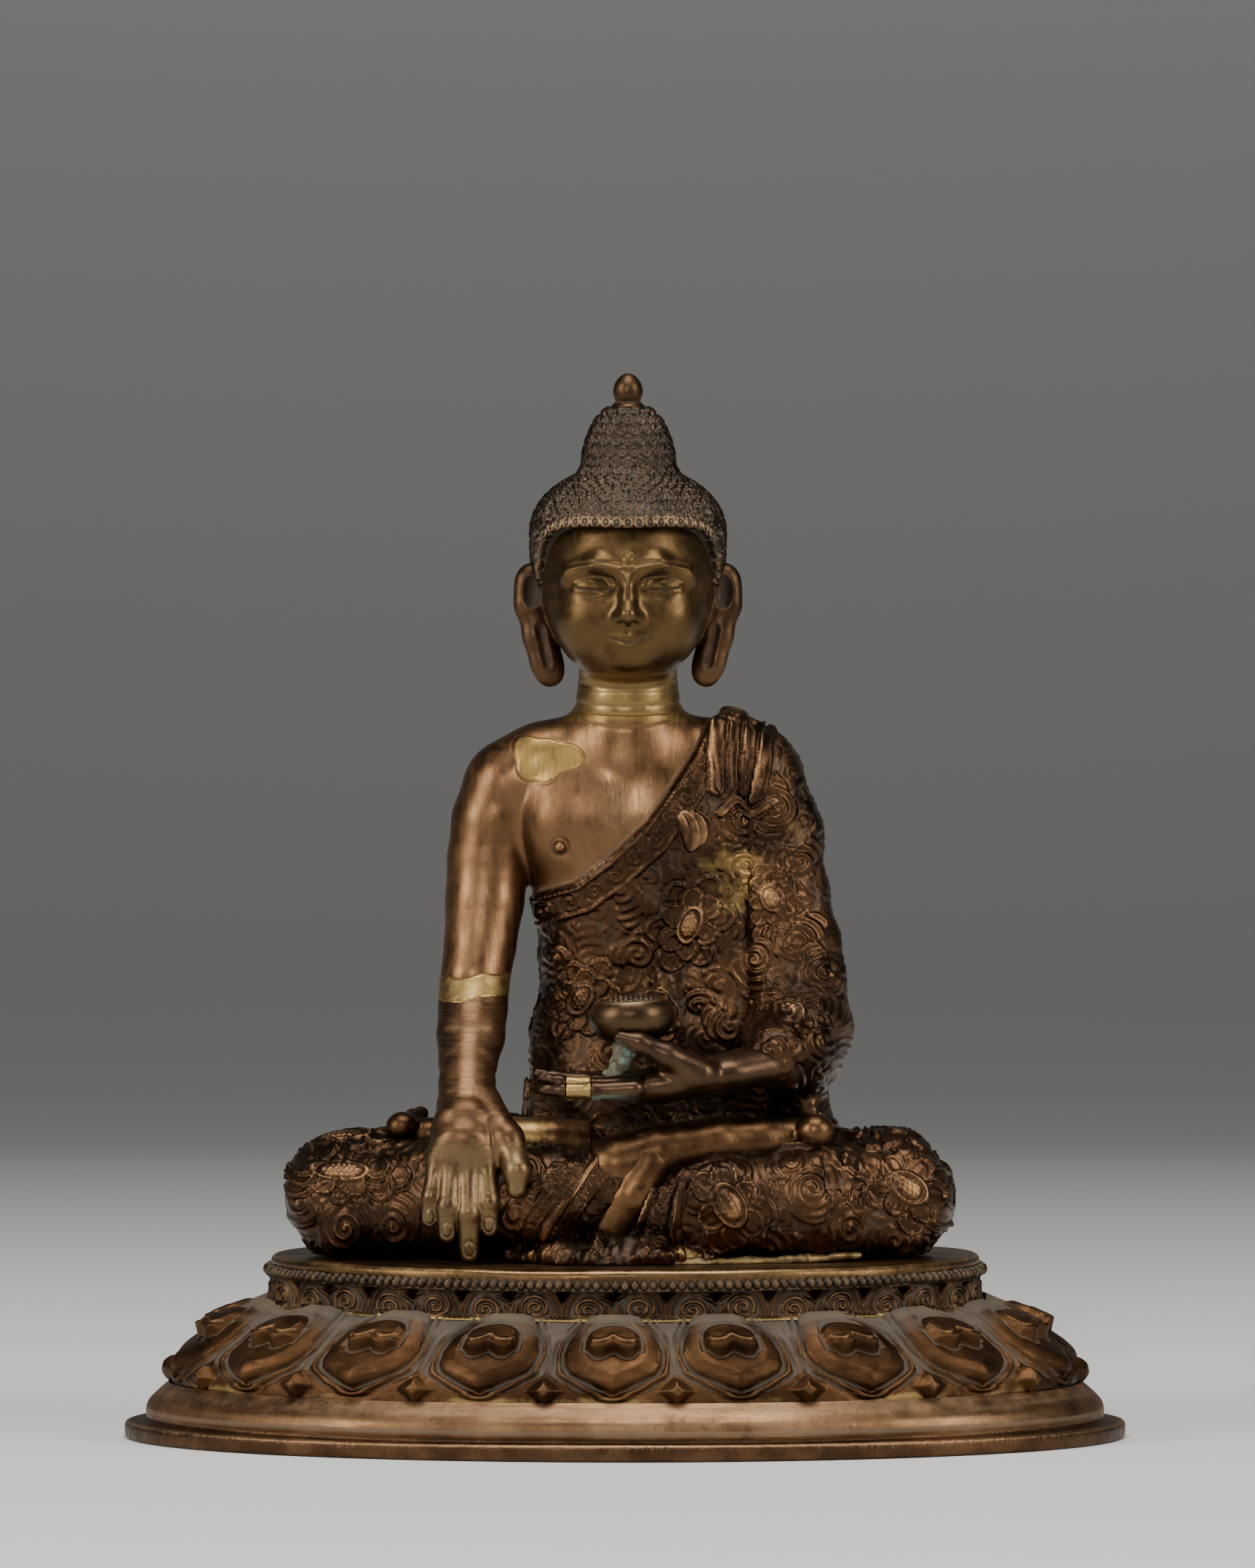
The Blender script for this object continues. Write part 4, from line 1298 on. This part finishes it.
def build_head():
    # neck collar
    def collar(P):
        return np.maximum(-0.05 + chain(P, [((HX, 4.8, 148.0), 11.1), ((HX, 4.5, 152), 10.5), ((HX, 4.0, 156), 10.0), ((HX, 2.6, 166), 9.9)], 0.8), np.maximum(P[:, 2] - 154.6, 149.2 - P[:, 2]))
    P, F, nrm = surface(collar, (-14, -10, 147), (16, 18, 156), 0.4)
    u, v = front_uv(P)
    finish_piece("neck_collar", P, F, nrm, -0.16 * bell(P[:, 2] - 151.4 - 0.004 * (P[:, 0] - HX) ** 2, 0.4), {"gold": np.ones(len(P)), "hi": 0.2 + 0 * u, "lo": 0.7 * bell(P[:, 2] - 151.4 - 0.004 * (P[:, 0] - HX) ** 2, 0.35)}, [M_FACE], ["neck_braze_collar"])

    def f(P):
        v = f_head(P)
        e = np.minimum(f_ear(P, 1), f_ear(P, -1))
        v = smin(v, e, 0.9)
        return np.maximum(v, 152.8 - P[:, 2])
    P, F, nrm = surface(f, (-26, -23, 152), (27, 24, 202), 0.36)
    x = np.abs(P[:, 0] - HX)
    z = P[:, 2]
    front = ss(-0.15, -0.45, nrm[:, 1]) * (P[:, 1] < -4)
    hgt = np.zeros(len(P))
    lo = np.zeros(len(P))
    # brow line: a thin raised arc with an engraved line above
    zb = Z_BROW + 1.3 - 0.028 * (x - 6.6) ** 2 + 0.2
    on = ss(1.2, 1.8, x) * ss(13.6, 12.4, x) * front
    hgt += 0.22 * bell(z - zb, 0.42) * on - 0.2 * bell(z - zb - 0.85, 0.28) * on
    lo += 0.55 * bell(z - zb - 0.85, 0.4) * on
    # lids: upper lid edge a shallow downward curve, crease above it
    zl = Z_EYE - 0.95 + 0.022 * (x - 6.6) ** 2
    on = ss(2.6, 3.2, x) * ss(11.2, 10.4, x) * front
    hgt += -0.42 * bell(z - zl, 0.24) * on + 0.16 * bell(z - zl - 0.5, 0.3) * on
    lo += 0.95 * bell(z - zl, 0.36) * on
    zc = Z_EYE + 1.75 - 0.035 * (x - 6.6) ** 2
    hgt += -0.26 * bell(z - zc, 0.26) * on
    lo += 0.6 * bell(z - zc, 0.36) * on
    # mouth line with lifted corners, groove under the nose
    zm = Z_CHIN + T3 * 0.66 + 0.02 + 0.035 * x ** 2 - 0.25 * bell(x, 0.8)
    on = ss(5.0, 4.4, x) * front
    hgt += -0.38 * bell(z - zm, 0.25) * on
    lo += 0.9 * bell(z - zm, 0.36) * on
    on = ss(zm + 1.6, zm + 2.2, z) * ss(Z_NOSE - 0.2, Z_NOSE - 0.7, z) * front
    hgt += -0.26 * bell(x, 0.55) * on + 0.08 * bell(x - 1.0, 0.4) * on
    # nostrils
    nz = np.hypot((x - 1.15) / 0.7, (z - Z_NOSE - 0.1) / 0.45)
    hgt -= 0.4 * ss(1.3, 0.3, nz) * (P[:, 1] < -15)
    lo += 0.7 * ss(1.3, 0.3, nz) * (P[:, 1] < -15)
    # raised dot between the brows
    ur = np.hypot(P[:, 0] - HX, z - (Z_BROW + 2.9))
    hgt += 0.4 * np.sqrt(np.clip(1 - (ur / 1.0) ** 2, 0, 1)) * front - 0.12 * bell(ur - 1.15, 0.2) * front
    # neck folds
    for zn in (154.9, 157.6):
        yy = z - zn - 0.010 * (P[:, 0] - HX) ** 2
        nk = (z < 161.0) * (x < 13) * (P[:, 1] < 4)
        hgt -= 0.18 * bell(yy, 0.3) * nk
        lo += 0.7 * bell(yy, 0.38) * nk
    hi = 0.25 * bell(x, 3.4) * bell(z - 184.5, 3.4) * front + 0.4 * bell(x, 1.3) * (z > Z_NOSE) * (z < Z_BROW) * front + 0.25 * bell(x - 7.6, 3.4) * bell(z - 169, 3) * front
    ear = (x > 15.2) & (P[:, 1] < 6)
    gold = 0.85 * ss(161.0, 157.0, z) * (x < 12)
    fe = np.minimum(f_ear(P, 1), f_ear(P, -1))
    is_ear = (fe < 0.35) & (x > 13.5)
    rec = 0.0 * x
    for sg in (1, -1):
        qe = (P - np.array([HX, 0, 0])) * np.array([sg, 1, 1])
        rec = np.maximum(rec, 0.8 * ss(0.7, 0.1, ell(qe, (19.7, 0.2, 174.8), (1.9, 1.9, 3.3))))
        rec = np.maximum(rec, 0.6 * ss(0.6, 0.1, flat_chain(qe, [((18.0, -0.2, 167.0), 0.9), ((16.5, -0.7, 159.8), 0.9)], (1, 0, 0), 0.9, 1)))
    finish_piece("head", P, F, nrm, hgt, {"hi": hi, "lo": np.clip(lo + rec, 0, 1), "gold": np.clip(gold, 0, 1)}, [M_FACE, M_EAR], ["head"], is_ear.astype(int), relaxed=1)

    # hair: cap and top-knot
    def hairline(P):
        a = np.abs(np.degrees(np.arctan2(P[:, 0] - HX, -(P[:, 1] - 3.0))))
        return np.interp(a, [0, 25, 42, 55, 64, 72, 80, 92, 115, 140, 180], [188.4, 188.6, 188.3, 187.2, 185.0, 181.0, 176.4, 174.6, 170.5, 167.0, 165.5])
    UZ = [198.0, 200.6, 203.0, 205.7, 208.0, 209.9, 211.6, 213.0]
    UR = [10.6, 9.2, 9.1, 8.4, 7.5, 6.5, 4.9, 2.9]
    PROF = [(14.5, 165.5), (16.6, 169.0), (18.2, 173.0), (19.2, 177.0), (19.8, 181.0), (20.1, 185.0), (20.0, 188.5), (19.1, 191.6), (17.4, 194.1), (15.0, 196.5), (12.2, 198.6), (9.9, 200.0)]

    def cap(P):
        c = smin(ell(P, (HX, 4.2, 183.0), (19.6, 20.2, 15.0)), ell(P, (HX, 4.2, 187.0), (19.7, 20.4, 13.3)), 1.0)
        c2 = ell(P, (HX, 7.0, 176.0), (17.8, 16.6, 16.0))
        v = smin(c, c2, 4)
        v = smax(v, hairline(P) - P[:, 2], 0.6)
        return v

    def knot(P):
        r = np.hypot(P[:, 0] - HX - 0.1, P[:, 1] - 4.0)
        R = np.interp(P[:, 2], UZ, UR)
        return np.maximum((r - R) * 0.9, np.maximum(P[:, 2] - 213.0, 196.0 - P[:, 2]))

    def hair(P):
        return smin(cap(P), knot(P), 0.8)
    P, F, nrm = surface(hair, (-22, -19, 162), (24, 27, 214.5), 0.28)
    # snail curls in rows
    pts = []
    zrow = 166.0
    ph = 0.0
    cen = np.array([HX, 4.2, 183.4])
    pr = np.array(PROF)
    acc = np.concatenate([[0], np.cumsum(np.hypot(np.diff(pr[:, 0]), np.diff(pr[:, 1])))])
    rj = np.random.default_rng(8)
    for k, q_ in enumerate(np.arange(0, acc[-1], 2.2)):
        R, zc = float(np.interp(q_, acc, pr[:, 0])), float(np.interp(q_, acc, pr[:, 1]))
        n = max(6, int(round(TAU * R / 2.45)))
        for i in range(n):
            a = TAU * (i + 0.5 * (k % 2) + 0.12 * rj.normal()) / n
            pts.append(np.array([HX + R * math.sin(a), 4.2 - R * 1.02 * math.cos(a), zc + 0.12 * rj.normal()]))
    for k, zc in enumerate((201.4, 203.6, 205.8, 207.9, 209.9, 211.7)):
        R = float(np.interp(zc, UZ, UR))
        n = max(6, int(round(TAU * R / 2.45)))
        for i in range(n):
            a = TAU * (i + 0.5 * (k % 2)) / n
            pts.append(np.array([HX + 0.1 + R * math.sin(a), 4.0 - R * math.cos(a), zc]))
    # front rows follow the hairline
    for j, dz in enumerate((1.1, 2.9)):
        for i in range(-15, 16):
            a = math.radians((i + 0.5 * j) * 6.6)
            p0 = np.array([[HX + 19.8 * math.sin(a), 3.0 - 20.0 * math.cos(a), 180.0]])
            zc = float(hairline(p0)[0]) + dz
            s_ = float(np.interp(zc, pr[:, 1], pr[:, 0])) / 19.9
            c_ = np.array([HX + 19.9 * s_ * math.sin(a), 4.2 - 20.5 * s_ * math.cos(a), zc])
            pts = [p for p in pts if np.linalg.norm(p - c_) > (1.5, 1.3)[j]]
            pts.append(c_)
    kd = kdtree.KDTree(len(pts))
    for i, p in enumerate(pts):
        kd.insert(p, i)
    kd.balance()
    Pr = relax(P, F, nrm, 1)
    n_ = vnormals(Pr, F)
    near = [kd.find(p) for p in Pr.tolist()]
    ctr = np.array([[q_[0][0], q_[0][1], q_[0][2]] for q_ in near])
    idx = np.array([q_[1] for q_ in near])
    d = Pr - ctr
    d = d - n_ * (d * n_).sum(1)[:, None]
    r = np.sqrt((d * d).sum(1))
    up = np.array([0, 0, 1.0])
    side = np.cross(n_, up)
    side /= np.maximum(np.linalg.norm(side, axis=1, keepdims=True), 1e-6)
    upv = np.cross(side, n_)
    th = np.arctan2((d * upv).sum(1), (d * side).sum(1)) * np.where(idx % 2 == 0, 1, -1)
    sp = np.cos(TAU * (r / 0.82 - th / TAU + 0.1 * idx))
    dome = np.sqrt(np.clip(1 - (r / 1.42) ** 2, 0, 1))
    hg = 0.74 * dome + 0.30 * bell(r - 0.90, 0.28) - 0.36 * bell(r - 0.50, 0.22) + 0.26 * bell(r, 0.26) - 0.1
    under = ss(0.0, 0.5, Pr[:, 2] - hairline(Pr))
    hg *= under
    first = bell(Pr[:, 2] - hairline(Pr) - 1.1, 1.0) * (Pr[:, 1] < 2)
    hi = np.clip(bell(r - 0.90, 0.28) + bell(r, 0.26), 0, 1) * (0.32 + 0.60 * first)
    lo = np.clip(0.85 * ss(1.1, 1.4, r) + 0.8 * bell(r - 0.50, 0.22), 0, 1) * (1 - 0.3 * first) * (0.88 + 0.2 * smooth_noise(Pr, 9.0, 4, 2))
    finish_piece("hair", P, F, nrm, hg, {"hi": hi, "lo": lo, "gold": 0 * hi}, [M_HAIR], ["head"], relaxed=1)

    # jewel on top
    prof = np.array([(0.02, 212.2), (3.3, 212.3), (3.45, 212.9), (3.0, 213.4), (2.5, 213.8), (2.75, 214.4), (3.05, 215.3), (3.1, 216.2), (2.85, 217.3), (2.3, 218.3), (1.5, 219.1), (0.7, 219.55), (0.02, 219.65)])
    q = np.linspace(0, len(prof) - 1, 60)
    rr, zz = np.interp(q, np.arange(len(prof)), prof[:, 0]), np.interp(q, np.arange(len(prof)), prof[:, 1])
    for _ in range(3):
        rr[1:-1] = 0.25 * rr[:-2] + 0.5 * rr[1:-1] + 0.25 * rr[2:]
    nt = 64
    t = np.arange(nt) / nt * TAU
    P = np.stack([HX + rr[None] * np.sin(t)[:, None], 4.0 - rr[None] * np.cos(t)[:, None], np.broadcast_to(zz[None], (nt, len(zz)))], -1).reshape(-1, 3)
    zz2 = np.tile(zz, nt)
    ob = make_object("finial", P, grid_faces(nt, len(rr)), {"hi": 0.35 * ss(216, 219, zz2), "lo": bell(zz2 - 213.7, 0.4), "gold": 0 * zz2})
    ob.data.materials.append(M_EAR)
    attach(ob, "root")
    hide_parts("finial_jewel")


def build_seam():
    pts = [(Q(905, 1737, 32.4), 0.8), (Q(960, 1738, 31.6), 1.0), (Q(1030, 1735, 30.0), 1.0), (Q(1110, 1731, 27.5), 0.9), (Q(1180, 1726, 24.2), 0.7)]

    def f(P):
        return np.maximum(chain(P, pts, 1.5) + 0.2 * smooth_noise(P, 4.0, 9, 2), 38.0 - P[:, 2])
    P, F, nrm = surface(f, (0, -38, 36), (54, -18, 42), 0.3)
    finish_piece("leg_seam", P, F, nrm, None, {"gold": 0.45 * np.ones(len(P)), "hi": 0.1 * np.ones(len(P)), "lo": 0.45 + 0 * P[:, 0]}, [M_BRAZE], ["leg_braze_seam"], relaxed=1)


M_LIMB = metal("limb_copper", (0.075, 0.038, 0.018), (0.165, 0.085, 0.038), (0.40, 0.24, 0.11), (0.12, 0.1, 0.07), rough=(0.3, 0.46), mottle=8, spot=0.6, gold=(0.40, 0.26, 0.09))
M_HAND2 = metal("hand_dark", (0.052, 0.031, 0.020), (0.108, 0.062, 0.035), (0.38, 0.23, 0.12), (0.13, 0.15, 0.12), rough=(0.3, 0.45), mottle=6, spot=0.3)
M_BOWL = metal("bowl_patina", (0.062, 0.037, 0.021), (0.115, 0.069, 0.036), (0.34, 0.22, 0.12), (0.12, 0.1, 0.075), rough=(0.3, 0.42), mottle=6, spot=0.2)

build_torso()
build_arm_right()
build_sleeve()
build_left_hand()
build_bowl()
build_legs()
build_head()
build_seam()
dress("base_plate", M_PLATE)
dress("tang_pins", M_BRAZE)



# ------------------------------------------------------------------ camera, floor and light
def camera():
    cam = bpy.data.cameras.new("cam")
    ob = bpy.data.objects.new("cam", cam)
    bpy.context.scene.collection.objects.link(ob)
    e = CAM_E
    D = CAM_D * MM
    aim = (0.0005, 0.0, 0.1350)
    ob.location = (aim[0], aim[1] - D * math.cos(e), aim[2] + D * math.sin(e))
    ob.rotation_euler = (math.pi / 2 - e, 0, 0)
    cam.sensor_width = 36.0
    cam.lens = 36.0 * D / 0.3234
    cam.clip_start, cam.clip_end = 0.05, 20.0
    bpy.context.scene.camera = ob


def stage_floor():
    # a pale sweep: flat floor rising into a wall behind
    pts = []
    nz = 24
    xs = np.linspace(-3.0, 3.0, 2)
    prof = [(-2.4, 0.0), (0.9, 0.0)]
    for i in range(1, nz + 1):
        a = i / nz * math.pi / 2
        prof.append((0.9 + 0.7 * math.sin(a), 0.7 - 0.7 * math.cos(a)))
    prof.append((1.6, 3.0))
    P, F = [], []
    for (y, z) in prof:
        P += [(-3000, y * 1000, z * 1000), (3000, y * 1000, z * 1000)]
    for i in range(len(prof) - 1):
        F.append((2 * i, 2 * i + 1, 2 * i + 3, 2 * i + 2))
    ob = make_object("floor", P, F)
    mat = bpy.data.materials.new("paper")
    nt = nodes_of(mat)
    b = nt.nodes.new("ShaderNodeBsdfPrincipled")
    tc = nt.nodes.new("ShaderNodeTexCoord")
    nz_ = nt.nodes.new("ShaderNodeTexNoise")
    nz_.inputs["Scale"].default_value = 6.0
    sep = nt.nodes.new("ShaderNodeSeparateXYZ")
    nt.links.new(tc.outputs["Object"], sep.inputs[0])
    nt.links.new(tc.outputs["Object"], nz_.inputs["Vector"])

    def ramp(sock, stops, lo, hi):
        mr = nt.nodes.new("ShaderNodeMapRange")
        mr.inputs["From Min"].default_value = lo
        mr.inputs["From Max"].default_value = hi
        nt.links.new(sock, mr.inputs["Value"])
        cr_ = nt.nodes.new("ShaderNodeValToRGB")
        cr_.color_ramp.interpolation = "EASE"
        el = cr_.color_ramp.elements
        while len(el) < len(stops):
            el.new(0.5)
        for e_, (p_, v_) in zip(el, stops):
            e_.position = p_
            e_.color = (v_, v_ * 0.998, v_ * 0.985, 1)
        nt.links.new(mr.outputs["Result"], cr_.inputs["Fac"])
        return cr_.outputs["Color"]
    # pale paper near the object, grey paper behind
    yc = ramp(sep.outputs["Y"], [(0.0, 0.74), (0.30, 0.74), (0.80, 0.20), (1.0, 0.16)], -0.3, 1.5)
    zc = ramp(sep.outputs["Z"], [(0.0, 1.0), (0.5, 1.9), (1.0, 1.0)], 0.0, 0.9)
    mm = nt.nodes.new("ShaderNodeMix")
    mm.data_type = "RGBA"
    mm.blend_type = "MULTIPLY"
    mm.inputs[0].default_value = 1.0
    cols = [i_ for i_ in mm.inputs if i_.type == "RGBA"]
    nt.links.new(yc, cols[0])
    nt.links.new(zc, cols[1])
    o = nt.nodes.new("ShaderNodeOutputMaterial")
    nt.links.new([i_ for i_ in mm.outputs if i_.type == "RGBA"][0], b.inputs["Base Color"])
    b.inputs["Roughness"].default_value = 0.8
    b.inputs["Specular IOR Level"].default_value = 0.2
    # the paper shows from its face only, so that it never stands before the object
    geo = nt.nodes.new("ShaderNodeNewGeometry")
    tr = nt.nodes.new("ShaderNodeBsdfTransparent")
    mx = nt.nodes.new("ShaderNodeMixShader")
    nt.links.new(geo.outputs["Backfacing"], mx.inputs[0])
    nt.links.new(b.outputs["BSDF"], mx.inputs[1])
    nt.links.new(tr.outputs["BSDF"], mx.inputs[2])
    nt.links.new(mx.outputs["Shader"], o.inputs["Surface"])
    ob.data.materials.append(mat)


def area(name, loc, aim, size, power, color=(1, 1, 1), shape="RECTANGLE"):
    l = bpy.data.lights.new(name, "AREA")
    l.shape = shape
    l.size, l.size_y = size
    l.energy = power
    l.color = color
    ob = bpy.data.objects.new(name, l)
    bpy.context.scene.collection.objects.link(ob)
    ob.location = loc
    from mathutils import Vector
    d = Vector(aim) - Vector(loc)
    ob.rotation_euler = d.to_track_quat("-Z", "Y").to_euler()
    return ob


def lights():
    area("key_left", (-1.25, -0.75, 0.70), (0, 0, 0.10), (0.6, 1.0), 15, (1.0, 0.985, 0.96))
    area("key_right", (1.25, -0.75, 0.72), (0, 0, 0.10), (0.6, 1.0), 14, (1.0, 0.985, 0.96))
    area("top", (0.0, -0.25, 1.25), (0, 0.0, 0.1), (0.8, 0.6), 11)
    area("front", (-0.22, -1.30, 0.62), (0, 0, 0.12), (0.28, 0.28), 4.5)
    w = bpy.data.worlds.new("w")
    bpy.context.scene.world = w
    w.use_nodes = True
    bg = w.node_tree.nodes["Background"]
    bg.inputs[0].default_value = (0.9, 0.92, 0.95, 1)
    bg.inputs[1].default_value = 0.10


camera()
stage_floor()
lights()
